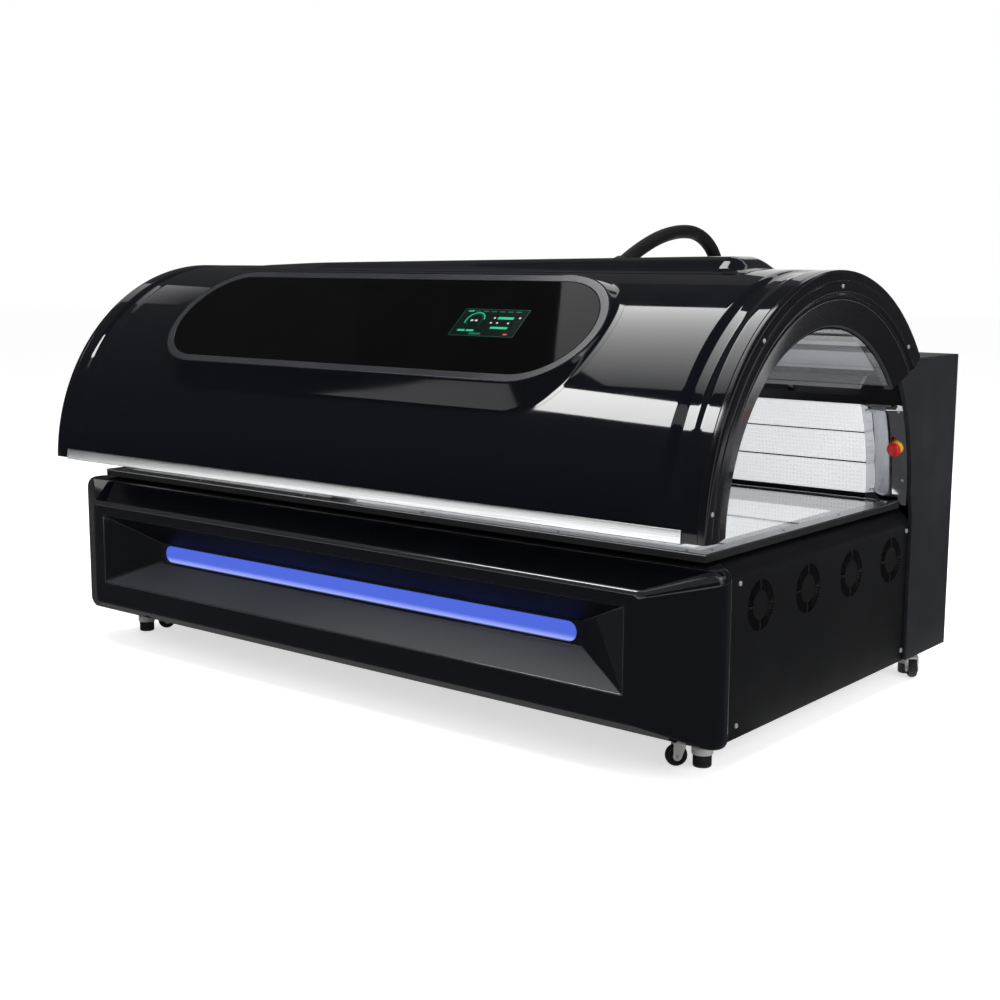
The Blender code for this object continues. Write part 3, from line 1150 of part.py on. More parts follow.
def make_hose():
    """Flexible hose from the crown housing's gland back into the cabinet's top, with its socket there."""
    base = CABINET_TOP + CLEAR
    rim, top = base + SOCKET_FLANGE, base + SOCKET_HEIGHT
    socket = [(0.0, top), (GLAND_RADIUS, top), (GLAND_RADIUS, rim),
              (SOCKET_FLANGE_RADIUS, rim), (SOCKET_FLANGE_RADIUS, base), (0.0, base)]
    add_turned("hose_socket", socket, "matte_black", at(HOSE_X, HOSE_END_Y, 0))
    start = gland_frame(GLAND_LENGTH + CLEAR).to_translation()
    end = Vector((HOSE_X, HOSE_END_Y, top + CLEAR))
    stops = [start] + [Vector((HOSE_X, y, z)) for y, z in HOSE_ROUTE] + [end]
    route = smooth_route(stops, HOSE_SAMPLES)
    curve = bpy.data.curves.new("hose", "CURVE")
    curve.dimensions = "3D"
    curve.bevel_depth = HOSE_RADIUS
    curve.bevel_resolution = 4
    curve.use_fill_caps = True
    spline = curve.splines.new("POLY")
    spline.points.add(len(route) - 1)
    for point, place in zip(spline.points, route):
        point.co = (*place, 1.0)
    curve.materials.append(FINISHES["hose_black"])
    PARTS.objects.link(bpy.data.objects.new("flexible_hose", curve))


def make_base():
    make_floor_pan()
    make_front_beam()
    make_rear_frame()
    make_bed_deck()
    make_bed_board()
    make_bed_rims()
    make_bed_sheet()
    make_fascia()
    make_light_bar()
    make_end_panels()
    make_fan_rack()
    make_fan_rotors()
    make_cabinet_ends()
    make_cabinet_cover()
    make_back_wall()
    make_wall_board()
    make_end_trims()
    make_stop_button()
    make_power_pieces()
    make_gas_springs()
    make_casters()


def make_canopy():
    pivot = add_pivot("canopy_hinge", (0, PIVOT_Y, PIVOT_Z))
    make_canopy_shell(pivot)
    make_end_rings(pivot)
    make_canopy_lining(pivot)
    make_grip_strip(pivot)
    make_crown_housing(pivot)
    make_display(pivot)
    make_hinge_arms(pivot)


def main():
    global PARTS, CUTTERS
    for old in list(bpy.data.objects):
        bpy.data.objects.remove(old)
    PARTS = bpy.data.collections.new("light_therapy_bed")
    CUTTERS = bpy.data.collections.new("cutters")
    for collection in (PARTS, CUTTERS):
        bpy.context.scene.collection.children.link(collection)
    make_finishes()
    make_base()
    make_canopy()
    make_hose()


main()
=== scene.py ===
"""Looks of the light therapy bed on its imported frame: shells, trim, boards and fittings, in metres."""
import math

import bmesh
import bpy
from mathutils import Matrix, Vector


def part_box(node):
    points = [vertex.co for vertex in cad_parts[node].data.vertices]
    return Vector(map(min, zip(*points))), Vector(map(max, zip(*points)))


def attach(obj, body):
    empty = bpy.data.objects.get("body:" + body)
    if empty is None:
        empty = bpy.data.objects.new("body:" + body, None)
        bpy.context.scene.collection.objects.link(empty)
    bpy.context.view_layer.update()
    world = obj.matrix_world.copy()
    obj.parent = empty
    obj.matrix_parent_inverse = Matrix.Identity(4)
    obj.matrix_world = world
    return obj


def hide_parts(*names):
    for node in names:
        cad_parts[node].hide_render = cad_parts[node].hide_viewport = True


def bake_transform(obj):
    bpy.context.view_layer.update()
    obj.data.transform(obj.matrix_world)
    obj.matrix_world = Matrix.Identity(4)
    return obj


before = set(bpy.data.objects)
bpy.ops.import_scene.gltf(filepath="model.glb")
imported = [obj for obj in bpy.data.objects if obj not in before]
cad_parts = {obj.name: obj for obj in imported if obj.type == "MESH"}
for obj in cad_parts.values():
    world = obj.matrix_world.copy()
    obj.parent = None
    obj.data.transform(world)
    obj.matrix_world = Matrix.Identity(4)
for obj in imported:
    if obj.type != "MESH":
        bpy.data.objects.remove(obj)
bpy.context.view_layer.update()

# Camera of the photograph
LENS = 54.29
SENSOR = 36.0
CAMERA_PLACE = (2.5437, -3.1352, 1.0604)
CAMERA_AZIMUTH = 38.89
CAMERA_DROP = 8.833
CAMERA_ROLL = -0.286
CAMERA_SHIFT_Y = -0.003

# Hose
HOSE_X = 0.400
HOSE_RADIUS = 0.0175
HOSE_POINTS = [
    (-0.0005, 1.0590), (0.045, 1.081), (0.100, 1.104), (0.160, 1.124), (0.220, 1.137), (0.280, 1.143),
    (0.335, 1.140), (0.386, 1.124), (0.428, 1.095), (0.456, 1.054), (0.468, 1.005), (0.470, 0.950),
    (0.470, 0.905), (0.470, 0.8636),
]
HOSE_SAMPLES = 6
HOSE_SIDES = 36
GLAND_PLACE = (HOSE_X, -0.017, 1.051)
GLAND_TILT = 26.0
GLAND_RADIUS = 0.024
GLAND_LENGTH = 0.018
SOCKET_PLACE = (HOSE_X, 0.470, 0.8333)
SOCKET_FLANGE_RADIUS = 0.036
SOCKET_HEIGHT = 0.030
SOCKET_FLANGE = 0.005
SOCKET_BOLT_REACH = 0.031

# Tunnel and canopy; angles turn from the front up over the top to the rear
AXIS_Y = -0.107
AXIS_Z = 0.501
CANOPY_FRONT = 2.0
CANOPY_REAR = 141.0
CANOPY_HALF = 1.053
SHELL_RADIUS = 0.548
SHELL_WALL = 0.005
SHELL_HALF = 1.0347
SHELL_EDGE = 0.0015
SHELL_STEPS = 139
BAND_X = 0.970
BAND_WIDTH = 0.062
BAND_RAMP = 0.015
BAND_DEPTH = 0.006
BAND_EASE = 0.007
BAND_START = 9.0
BAND_END = 92.0
BAND_FADE = 6.0
RING_BACK_X = 1.035
RING_BEAD = 0.0081
RING_GROOVE_RADIUS = 0.5225
RING_GROOVE = 0.0022
RING_BAND_RADIUS = 0.500
RING_STEP = 0.007
RING_LIP_RADIUS = 0.484
FLARE_END_X = 1.026
FLARE_END_RADIUS = 0.4243
RING_WEB_X = 1.006
RING_SHEET = 0.005
RING_END_GAP = 0.10
RING_END_TURN = 0.25
RING_JOINTS = {"right": 97.0, "left": 27.0}
RING_SEAM = 0.045
RING_LEAST_STEPS = 12
RING_SCREWS = ((8.5, 0.530), (50.0, 0.532), (89.6, 0.513), (133.5, 0.508))
RING_SCREW_SINK = 0.0004
RING_SHARP_ANGLE = 50.0
GRIP_HALF = 0.998
GRIP_INNER = 0.5483
GRIP_SHEET = 0.0027
GRIP_LOW_ANGLE = 1.65
GRIP_HIGH_ANGLE = 4.6
GRIP_FLANGE_GAP = 0.04
LINER_RADIUS = 0.420
LINER_SHEET = 0.004
LINER_LAST = 139.0
ARCH_STEPS = 136
TRAY_RADIUS = 0.4545
TRAY_FACETS = 6
TRAY_FIRST = 4.0
TRAY_LAST = LINER_LAST
TRAY_SHEET = 0.003
CANOPY_BOARD_WIDTH = 0.116
CANOPY_BOARD_HALF = 0.985
CANOPY_BOARD_PIECES = 3
CANOPY_BOARD_GAP = 0.012

# Crown housing
CROWN_Z = 1.049
HOUSING_RIGHT_X = 0.852
HOUSING_LEFT_X = -0.760
HOUSING_END_SLOPE = 0.042
HOUSING_TOE = 0.030
HOUSING_TAPER = 0.230
HOUSING_RISE = 0.029
HOUSING_LEFT_RISE = 0.0095
HOUSING_TOE_RISE = 0.002
HOUSING_FRONT_Y = -0.200
HOUSING_REAR_Y = 0.008
HOUSING_SLOPE = 0.050
HOUSING_FOOT = 0.018

# Display
DISPLAY_X = -0.025
DISPLAY_ANGLE = 49.0
DISPLAY_FACE = 0.556
GLASS_HALF = 0.673
GLASS_HIGH = 0.150
GLASS_SHEET = 0.0045
BEZEL_BORDER = 0.0235
SKIRT_BORDER = 0.064
SKIRT_DEPTH = 0.075
SKIRT_FOOT = 0.016
DISPLAY_STEPS = 24
SCREEN_MIDDLE = 0.381
SCREEN_RISE = 0.007
SCREEN_WIDTH = 0.192
SCREEN_HEIGHT = 0.092
MARK_HEIGHT = 0.0001
DIAL_PLACE = (-0.046, 0.006)

# Fascia and light bar
FASCIA_REAR_Y = -0.4873
FASCIA_RETURN_Y = -0.531
FASCIA_BEND_Y = -0.561
FASCIA_FRONT_Y = -0.647
FASCIA_EDGE = 0.008
FASCIA_WALL = 0.0035
RECESS_FLOOR_Y = -0.574
RECESS_HALF = 0.862
RECESS_LOW = 0.185
RECESS_HIGH = 0.372
BAR_HALF = 0.690
BAR_RADIUS = 0.02225
BAR_Z = 0.27575
BAR_FACE_Y = -0.572
BAR_REAR_Y = -0.554
BAR_FIT = 0.0004
BAR_PALE_SHARE = 0.25
# Rings of the fascia from its rear to the recess's floor: y, half length, low, high, corner radius, easing
FASCIA_RINGS = [
    (FASCIA_REAR_Y, 1.000, 0.066, 0.456, 0.012, 0.0),
    (FASCIA_RETURN_Y, 1.045, 0.0731, 0.4548, 0.028, 0.006),
    (FASCIA_BEND_Y, 1.047, 0.078, 0.454, 0.030, 0.016),
    (FASCIA_FRONT_Y, 0.900, 0.125, 0.406, 0.014, 0.012),
    (FASCIA_FRONT_Y, RECESS_HALF, RECESS_LOW, RECESS_HIGH, 0.005, 0.0035),
    (RECESS_FLOOR_Y, 0.706, 0.2475, 0.304, 0.004, 0.003),
]
# Finishes of the fascia's faces; on the one gloss black moulding, the paler lower recess facet is painted
# sheen and the paler upward edges are painted highlight lines
FASCIA_FINISHES = ["gloss_black", "recess_satin", "recess_black", "buffed_edge"]

# End panels
PANEL_X = 1.000
PANEL_SHEET = 0.003
PANEL_BOTTOM = 0.066
PANEL_TOP = 0.455
PANEL_BEND = 0.045
PANEL_LIP_X = 0.9503
PANEL_FRONT_Y = -0.485
PANEL_REAR_Y = 0.412
PANEL_SCREW_Y = (-0.422, 0.400)
PANEL_SCREW_Z = (0.094, 0.4015)
FAN_Z = 0.340
FAN_PLACES = (-0.332, -0.1165, 0.099, 0.3145)
SLOT_COUNT = 48
SLOT_INNER = 0.0315
SLOT_OUTER = 0.0565
SLOT_INNER_WIDTH = 0.0029
SLOT_OUTER_WIDTH = 0.0056
SLOT_EASE = 0.0016
FAN_SCREW_STEP = 12
FAN_SCREW_REACH = 0.0445

# Bed and back wall
RIM_OUTER_X = 0.985
RIM_FRONT_Y = -0.538
RIM_BOTTOM = 0.460
RIM_TOP = 0.478
RIM_CAP = 0.0036
RIM_WIDTH = 0.035
RIM_INSET = 0.0006
RIM_LEDGE = 0.4677
RIM_SCREW_X = (-0.93, -0.6, -0.2, 0.2, 0.6, 0.93)
RIM_SCREW_Y = (-0.48, -0.18, 0.09, 0.34)
BED_BOARD_TOP = 0.432
BED_BOARD_FRONT = -0.4664
BED_BOARD_REAR = 0.3647
BED_BOARD_HALF = 0.9297
BED_BOARD_ROWS = 8
BED_BOARD_SHEET = 0.0055
WALL_BOARD_RADIUS = 0.5067
WALL_BOARD_LOW = -1.8
WALL_BOARD_HIGH = 25.3
WALL_BOARD_ROWS = 3
WALL_BOARD_HALF = 0.8867
BOARD_SHEET = 0.003
BOARD_JOINT = 0.0045
TRIM_FACE_RADIUS = 0.505
# Screws of each trim: x and elevation
TRIM_SCREWS = ((0.900, -0.5), (0.900, 23.5), (0.985, 23.5), (0.985, 3.0))

# Cabinet's back
CABINET_BACK_Y = 0.658
CABINET_SCREW_X = 0.980
CABINET_SCREW_Z = (0.10, 0.32, 0.54, 0.79)
CABINET_FOOT_X = (-0.5, 0.0, 0.5)
CABINET_FOOT_Z = 0.085
INLET_PINS = ((0.743, 0.1575), (0.757, 0.1575), (0.750, 0.1645))
INLET_PIN_ENDS = (0.6362, 0.650)

# Emergency stop
STOP_X = 0.973
STOP_ELEVATION = 12.7
STOP_SEAT = 0.00087
STOP_COLLAR_RADIUS = 0.0165
STOP_COLLAR_LENGTH = 0.012
STOP_HEAD_RADIUS = 0.0180
STOP_HEAD_LENGTH = 0.013
STOP_STEM_RADIUS = 0.0060
STOP_TRAVEL = 0.0043
STOP_FIT = 0.0004

# Casters
CASTERS = {
    "front_right": (0.937, -0.451, -135.0),
    "front_left": (-0.937, -0.451, 60.0),
    "rear_right": (0.955, 0.540, -51.0),
    "rear_left": (-0.955, 0.540, -90.0),
}
CASTER_TRAIL = 0.057
CASTER_FORK_HALF = 0.015
WHEEL_RADIUS = 0.024
WHEEL_HALF = 0.010
WHEEL_BORE = 0.0043
WHEEL_Z = 0.0265
# One side of a tyre, from hub to tread: shares of the wheel's radius and half width, and easing
TYRE_SIDE = ((0.36, 0.8, 0.0006), (0.40, 0.55, 0.0006), (0.62, 0.55, 0.0006), (0.68, 1.0, 0.0006),
             (0.86, 1.0, 0.0015), (1.0, 0.55, 0.004))
FOOT_RADIUS = 0.0235
FOOT_PAD_RADIUS = 0.0205
FOOT_PAD_TOP = 0.028
FOOT_RING_TOP = 0.044
STEM_RADIUS = 0.006
STEM_TOP = 0.078

SIDES = {"right": 1.0, "left": -1.0}

# Screw heads: radius of each kind, and the shape as shares of the radius
RING_SCREW = 0.0048
PANEL_SCREW = 0.0058
GRILLE_SCREW = 0.0034
GLAND_BOLT = 0.0028
AXLE_BOLT = 0.0042
RIM_SCREW = 0.0036
TRIM_SCREW = 0.0034
CABINET_SCREW = 0.0048
SCREW_SINK = 0.0002
SCREW_SIDES = 24
SCREW_PROFILE = ((1.0, 0.0), (1.0, 0.22), (0.90, 0.42), (0.70, 0.54))
SCREW_SOCKET = 0.42
SCREW_SOCKET_LEVELS = (0.56, 0.20)

# Meshes: edges that fold by more than these angles stay sharp, an eased corner takes up to a share of its
# sides, and a round end keeps a short flat between its two corners
SHARP_ANGLE = 32.0
SOFT_ANGLE = 60.0
LARGEST_SETBACK = 0.48
ROUND_END_FLAT = 1e-5

# Finishes; a Mix node's colours have these numbers among its sockets
MIX_COLOUR_INPUTS = (6, 7)
MIX_COLOUR_OUTPUT = 2
BRUSH_STRETCH = (0.012, 1.0, 1.0)
DIODE_PITCH = 0.0100
DIODE_SIZE = 0.0032
DIODE_LENS_SHARE = 0.62
DIODE_HEIGHT = 0.0008
SLEEVE_STRANDS = 40.0
SLEEVE_CROSSINGS = 4.0
SLEEVE_WEAVE = 0.3
DUST_TONE = 0.05
ACRYLIC_IOR = 1.49

# Studio: light of the world on the object, the floor's glow to the camera and in gloss, and its radius
WORLD_LIGHT = 0.45
FLOOR_GLOW = 0.62
FLOOR_RADIUS = 30.0


# Points, rows and meshes

def polar(radius, degrees):
    """Point (y, z) on the tunnel's section, at an angle from the front."""
    turn = math.radians(degrees)
    return AXIS_Y - radius * math.cos(turn), AXIS_Z + radius * math.sin(turn)


def steps_between(first, last, count):
    """Evenly spaced values from the first to the last."""
    return [first + (last - first) * i / count for i in range(count + 1)]


def ease(value, start, end):
    """0 before start, 1 after end, and smooth between."""
    share = min(max((value - start) / (end - start), 0.0), 1.0)
    return share * share * (3.0 - 2.0 * share)


def rounded(points, setbacks, steps=4, closed=True):
    """A run of points with its corners eased into curves that start a setback before each corner."""
    path = []
    count = len(points)
    for i, corner in enumerate(points):
        if setbacks[i] == 0.0 or (not closed and i in (0, count - 1)):
            path.append(corner)
            continue
        before = points[i - 1] - corner
        after = points[(i + 1) % count] - corner
        start = corner + before.normalized() * min(setbacks[i], before.length * LARGEST_SETBACK)
        end = corner + after.normalized() * min(setbacks[i], after.length * LARGEST_SETBACK)
        for t in steps_between(0.0, 1.0, steps):
            path.append(start * (1 - t) ** 2 + corner * 2 * t * (1 - t) + end * t ** 2)
    return path


def eased(corners, steps=4, closed=True):
    """Points eased at their corners, each corner given as its two coordinates and its setback."""
    points = [Vector((first, second)) for first, second, setback in corners]
    return rounded(points, [setback for first, second, setback in corners], steps, closed)


def rounded_rows(rows, setbacks, steps=4):
    """Rows of points with the rows between the first and last eased into curves."""
    runs = [rounded(list(run), setbacks, steps, closed=False) for run in zip(*rows)]
    return [list(row) for row in zip(*runs)]


def rectangle(half, low, high, radius, steps=6):
    """Closed outline of a rectangle with round corners, as (across, up) pairs."""
    outline = []
    corners = ((half, low, -90.0), (half, high, 0.0), (-half, high, 90.0), (-half, low, 180.0))
    for across, up, start in corners:
        centre_across = across - math.copysign(radius, across)
        centre_up = up + radius if up == low else up - radius
        for degrees in steps_between(start, start + 90.0, steps):
            turn = math.radians(degrees)
            outline.append((centre_across + radius * math.cos(turn), centre_up + radius * math.sin(turn)))
    return outline


def stadium(half, high, steps):
    """Closed outline of a bar with round ends, as (across, up) pairs."""
    return rectangle(half, -high, high, high - ROUND_END_FLAT, steps)


def lofted(rows, closed=True, caps=True, columns=None):
    """A mesh through rows of points; columns gives the material slot of each strip along the rows."""
    bm = bmesh.new()
    grid = [[bm.verts.new(point) for point in row] for row in rows]
    width = len(grid[0])
    for upper, lower in zip(grid, grid[1:]):
        for j in range(width if closed else width - 1):
            k = (j + 1) % width
            face = bm.faces.new((upper[j], upper[k], lower[k], lower[j]))
            if columns:
                face.material_index = columns[j]
    if caps:
        bm.faces.new(list(reversed(grid[0])))
        bm.faces.new(grid[-1])
    bmesh.ops.recalc_face_normals(bm, faces=bm.faces)
    return bm


def full_turn(count):
    return [2 * math.pi * i / count for i in range(count)]


def around(place, reach, turn, height):
    """Point at a reach and a turn about a frame's own z."""
    return place @ Vector((reach * math.cos(turn), reach * math.sin(turn), height))


def turned(corners, place, steps=4, segments=40):
    """A closed turned mesh about a frame's own z, from (radius, height, setback) corners."""
    turns = full_turn(segments)
    profile = eased(corners, steps, closed=False)
    return lofted([[around(place, r, t, h) for t in turns] for r, h in profile])


def joined(parts):
    """Several meshes as one."""
    whole = bmesh.new()
    for part in parts:
        scrap = bpy.data.meshes.new("scrap")
        part.to_mesh(scrap)
        part.free()
        whole.from_mesh(scrap)
        bpy.data.meshes.remove(scrap)
    return whole


def shade(mesh, degrees):
    """Smooth shading, with the edges that fold by more than an angle kept sharp."""
    mesh.shade_smooth()
    mesh.set_sharp_from_angle(angle=math.radians(degrees))


def piece(name, bm, finishes, body, stands_for=(), smooth=SHARP_ANGLE, flats=False):
    """A new piece of the object: its mesh, finishes, body, and the CAD nodes that it stands for."""
    mesh = bpy.data.meshes.new(name)
    bm.to_mesh(mesh)
    bm.free()
    shade(mesh, smooth)
    made = bpy.data.objects.new(name, mesh)
    bpy.context.scene.collection.objects.link(made)
    for finish in finishes:
        mesh.materials.append(MATERIALS[finish])
    if flats:
        keep_flats(made)
    if body:
        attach(made, body)
    if stands_for:
        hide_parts(*stands_for)
    return made


def keep_flats(made):
    """Lets large faces stay flat beside their eased edges."""
    flats = made.modifiers.new("flat faces", "WEIGHTED_NORMAL")
    flats.keep_sharp = True


def at(x, y, z):
    return Matrix.Translation((x, y, z))


def tilt(axis, degrees):
    return Matrix.Rotation(math.radians(degrees), 4, axis)


def on_back_wall(x, radius, elevation):
    """Frame on the tunnel's back wall at an elevation behind its axis, z towards the axis."""
    y, z = polar(radius, 180.0 - elevation)
    return at(x, y, z) @ tilt("X", 90.0 + elevation)


def flat_uv(made, place):
    """Gives a board's mesh its own flat coordinates in metres, from a frame."""
    inverse = place.inverted()
    layer = made.data.uv_layers.new(name="flat")
    for loop in made.data.loops:
        spot = inverse @ made.data.vertices[loop.vertex_index].co
        layer.data[loop.index].uv = (spot.x, spot.y)


def slab(place, half, low, high, thickness, radius=0.002, edge=0.0006):
    """A thin rounded board whose face lies on a frame's xy plane."""
    outline = rectangle(half, low, high, radius, 3)
    inner = rectangle(half - edge, low + edge, high - edge, radius, 3)
    levels = ((outline, -thickness), (outline, -edge), (inner, 0.0))
    return lofted([[place @ Vector((x, y, z)) for x, y in ring] for ring, z in levels])


def socket_reach(turn):
    """How far a screw's six-sided socket reaches at a turn, as a share of the head's radius."""
    sixth = math.pi / 6
    return SCREW_SOCKET * math.cos(sixth) / math.cos((turn + sixth) % (math.pi / 3) - sixth)


def screw_heads(places, radius):
    """Button-head screws with a six-sided socket, one at each frame, as one mesh."""
    turns = full_turn(SCREW_SIDES)
    heads = []
    for place in places:
        rows = [[around(place, radius * r, t, radius * h) for t in turns] for r, h in SCREW_PROFILE]
        for level in SCREW_SOCKET_LEVELS:
            rows.append([around(place, radius * socket_reach(t), t, radius * level) for t in turns])
        heads.append(lofted(rows))
    return joined(heads)


def steel_screws(name, places, radius, body="base"):
    piece(name, screw_heads(places, radius), ["screw_steel"], body)


# Shader groups

def add_node(tree, kind, sockets=None, **settings):
    """A node with its settings made, and its sockets set to values or linked."""
    node = tree.nodes.new(kind)
    for name, value in settings.items():
        setattr(node, name, value)
    for name, value in (sockets or {}).items():
        if isinstance(value, bpy.types.NodeSocket):
            tree.links.new(value, node.inputs[name])
        else:
            node.inputs[name].default_value = value
    return node


def new_group(name, inputs, outputs):
    """An empty shader group with its number inputs and its outputs."""
    tree = bpy.data.node_groups.new(name, "ShaderNodeTree")
    for label, value in inputs.items():
        socket = tree.interface.new_socket(label, in_out="INPUT", socket_type="NodeSocketFloat")
        socket.default_value = value
    for label, kind in outputs.items():
        tree.interface.new_socket(label, in_out="OUTPUT", socket_type="NodeSocket" + kind)
    entry = tree.nodes.new("NodeGroupInput")
    leave = tree.nodes.new("NodeGroupOutput")
    return tree, entry.outputs, leave.inputs


def math_node(tree, operation, first, second=0.0):
    return add_node(tree, "ShaderNodeMath", {0: first, 1: second}, operation=operation).outputs[0]


def object_place(tree):
    """A piece's own coordinates, in metres."""
    return add_node(tree, "ShaderNodeTexCoord").outputs["Object"]


def split_axes(tree, vector):
    return add_node(tree, "ShaderNodeSeparateXYZ", {"Vector": vector}).outputs


def flat_place(tree):
    """The flat coordinates that a mesh carries, split into axes."""
    return split_axes(tree, add_node(tree, "ShaderNodeUVMap", uv_map="flat").outputs["UV"])


def noise(tree, place, scale, detail):
    sockets = {"Vector": place, "Scale": scale, "Detail": detail}
    return add_node(tree, "ShaderNodeTexNoise", sockets).outputs["Fac"]


def spread(tree, value, first, last, low=0.0, high=1.0, **settings):
    """A value that runs from first to last, turned into one from low to high."""
    sockets = {"Value": value, "From Min": first, "From Max": last, "To Min": low, "To Max": high}
    return add_node(tree, "ShaderNodeMapRange", sockets, **settings).outputs["Result"]


def bumped(tree, height, distance, strength=1.0, **sockets):
    """Normal of a surface with a height pressed into it."""
    wanted = {"Height": height, "Distance": distance, "Strength": strength, **sockets}
    return add_node(tree, "ShaderNodeBump", wanted).outputs["Normal"]


def haze_group():
    """Faint wipe marks and handling haze, as a roughness between two limits."""
    tree, given, out = new_group("haze", {"Scale": 4.0, "Low": 0.04, "High": 0.10}, {"Roughness": "Float"})
    cloud = noise(tree, object_place(tree), given["Scale"], detail=5.0)
    tree.links.new(spread(tree, cloud, 0.35, 0.68, given["Low"], given["High"]), out["Roughness"])
    return tree


def moulding_group():
    """Slow waves of a thermoformed skin with a little orange peel, as a normal."""
    tree, given, out = new_group("moulding", {"Wave": 0.0006, "Peel": 0.00001}, {"Normal": "Vector"})
    place = object_place(tree)
    waves = bumped(tree, noise(tree, place, scale=3.2, detail=1.0), given["Wave"])
    peel = bumped(tree, noise(tree, place, scale=240.0, detail=1.0), given["Peel"], Normal=waves)
    tree.links.new(peel, out["Normal"])
    return tree


def grain_group():
    """Fine grain of powder coat or moulded rubber, as a shade and a normal."""
    tree, given, out = new_group("grain", {"Scale": 900.0, "Depth": 0.00004},
                                 {"Shade": "Float", "Normal": "Vector"})
    place = object_place(tree)
    specks = noise(tree, place, given["Scale"], detail=2.0)
    clouds = noise(tree, place, scale=5.0, detail=3.0)
    both = math_node(tree, "MULTIPLY", specks, clouds)
    tree.links.new(spread(tree, both, 0.1, 0.4), out["Shade"])
    tree.links.new(bumped(tree, specks, given["Depth"]), out["Normal"])
    return tree


def brushed_group():
    """Long brush lines along the bed, as a value and a normal."""
    tree, given, out = new_group("brushed", {"Scale": 260.0, "Depth": 0.00002},
                                 {"Lines": "Float", "Normal": "Vector"})
    stretched = add_node(tree, "ShaderNodeMapping", {"Vector": object_place(tree), "Scale": BRUSH_STRETCH})
    lines = noise(tree, stretched.outputs["Vector"], given["Scale"], detail=3.0)
    tree.links.new(lines, out["Lines"])
    tree.links.new(bumped(tree, lines, given["Depth"]), out["Normal"])
    return tree


def diode_group():
    """Rows of small LED packages on a board's flat coordinates, as two masks and a normal."""
    tree, given, out = new_group("diodes", {"Pitch": 0.0135, "Size": 0.0045},
                                 {"Package": "Float", "Lens": "Float", "Normal": "Vector"})
    flat = flat_place(tree)
    sides = []
    for axis in ("X", "Y"):
        cell = math_node(tree, "DIVIDE", flat[axis], given["Pitch"])
        centred = math_node(tree, "SUBTRACT", math_node(tree, "FRACT", cell), 0.5)
        sides.append(math_node(tree, "MULTIPLY", math_node(tree, "ABSOLUTE", centred), given["Pitch"]))
    widest = math_node(tree, "MAXIMUM", sides[0], sides[1])
    half = math_node(tree, "MULTIPLY", given["Size"], 0.5)
    package = math_node(tree, "LESS_THAN", widest, half)
    lens = math_node(tree, "LESS_THAN", widest, math_node(tree, "MULTIPLY", half, DIODE_LENS_SHARE))
    tree.links.new(package, out["Package"])
    tree.links.new(lens, out["Lens"])
    tree.links.new(bumped(tree, package, DIODE_HEIGHT, strength=0.6), out["Normal"])
    return tree


def sleeve_group():
    """Fine ribs of a spiral hose under a woven sleeve, as a shade and a normal; the shade is painted shade,
    darker in the grooves and the weave's dips.
    """
    tree, given, out = new_group("sleeve", {"Pitch": 0.0052, "Depth": 0.0005},
                                 {"Shade": "Float", "Normal": "Vector"})
    flat = flat_place(tree)
    along = math_node(tree, "DIVIDE", flat["Y"], given["Pitch"])
    spiral = math_node(tree, "ADD", along, flat["X"])
    rib = math_node(tree, "SINE", math_node(tree, "MULTIPLY", spiral, 2 * math.pi))
    strands = math_node(tree, "MULTIPLY", flat["X"], SLEEVE_STRANDS * math.pi)
    cross = math_node(tree, "MULTIPLY", along, SLEEVE_CROSSINGS * math.pi)
    weave_one = math_node(tree, "SINE", math_node(tree, "ADD", strands, cross))
    weave_two = math_node(tree, "SINE", math_node(tree, "SUBTRACT", strands, cross))
    weave = math_node(tree, "MULTIPLY", weave_one, weave_two)
    height = math_node(tree, "ADD", rib, math_node(tree, "MULTIPLY", weave, SLEEVE_WEAVE))
    highest = 1.0 + SLEEVE_WEAVE
    tree.links.new(spread(tree, height, -highest, highest), out["Shade"])
    tree.links.new(bumped(tree, height, given["Depth"], strength=0.5), out["Normal"])
    return tree


def dust_group():
    """Light dust that settles on faces that look up, as a mask."""
    tree, given, out = new_group("dust", {"Amount": 0.3}, {"Mask": "Float"})
    normal = split_axes(tree, add_node(tree, "ShaderNodeNewGeometry").outputs["Normal"])
    up = spread(tree, normal["Z"], 0.55, 1.0)
    patch = spread(tree, noise(tree, object_place(tree), scale=9.0, detail=6.0), 0.4, 0.75)
    settled = math_node(tree, "MULTIPLY", up, patch)
    tree.links.new(math_node(tree, "MULTIPLY", settled, given["Amount"]), out["Mask"])
    return tree


# Materials

MATERIALS = {}
GROUPS = {}


def new_material(name, colour, roughness, metallic=0.0, specular=0.5):
    """A material with plain values on its shader's own sockets."""
    material = bpy.data.materials.new(name)
    material.use_nodes = True
    tree = material.node_tree
    shader = tree.nodes["Principled BSDF"]
    shader.inputs["Base Color"].default_value = (*colour, 1.0)
    shader.inputs["Roughness"].default_value = roughness
    shader.inputs["Metallic"].default_value = metallic
    shader.inputs["Specular IOR Level"].default_value = specular
    MATERIALS[name] = material
    return tree, shader


def place_group(tree, name, **values):
    node = tree.nodes.new("ShaderNodeGroup")
    node.node_tree = GROUPS[name]
    for label, value in values.items():
        node.inputs[label].default_value = value
    return node.outputs


def mixed(tree, mask, first, second):
    """Colour that goes from the first to the second by a mask; each is a colour or a socket."""
    sockets = {"Factor": mask}
    for index, colour in zip(MIX_COLOUR_INPUTS, (first, second)):
        sockets[index] = colour if isinstance(colour, bpy.types.NodeSocket) else (*colour, 1.0)
    return add_node(tree, "ShaderNodeMix", sockets, data_type="RGBA").outputs[MIX_COLOUR_OUTPUT]


def two_tone(tree, shader, mask, first, second):
    """Base colour that goes from one tone to another by a mask."""
    tree.links.new(mixed(tree, mask, first, second), shader.inputs["Base Color"])


def hazed(tree, shader, scale, low, high):
    """Roughness that wanders between two limits."""
    haze = place_group(tree, "haze", Scale=scale, Low=low, High=high)
    tree.links.new(haze["Roughness"], shader.inputs["Roughness"])


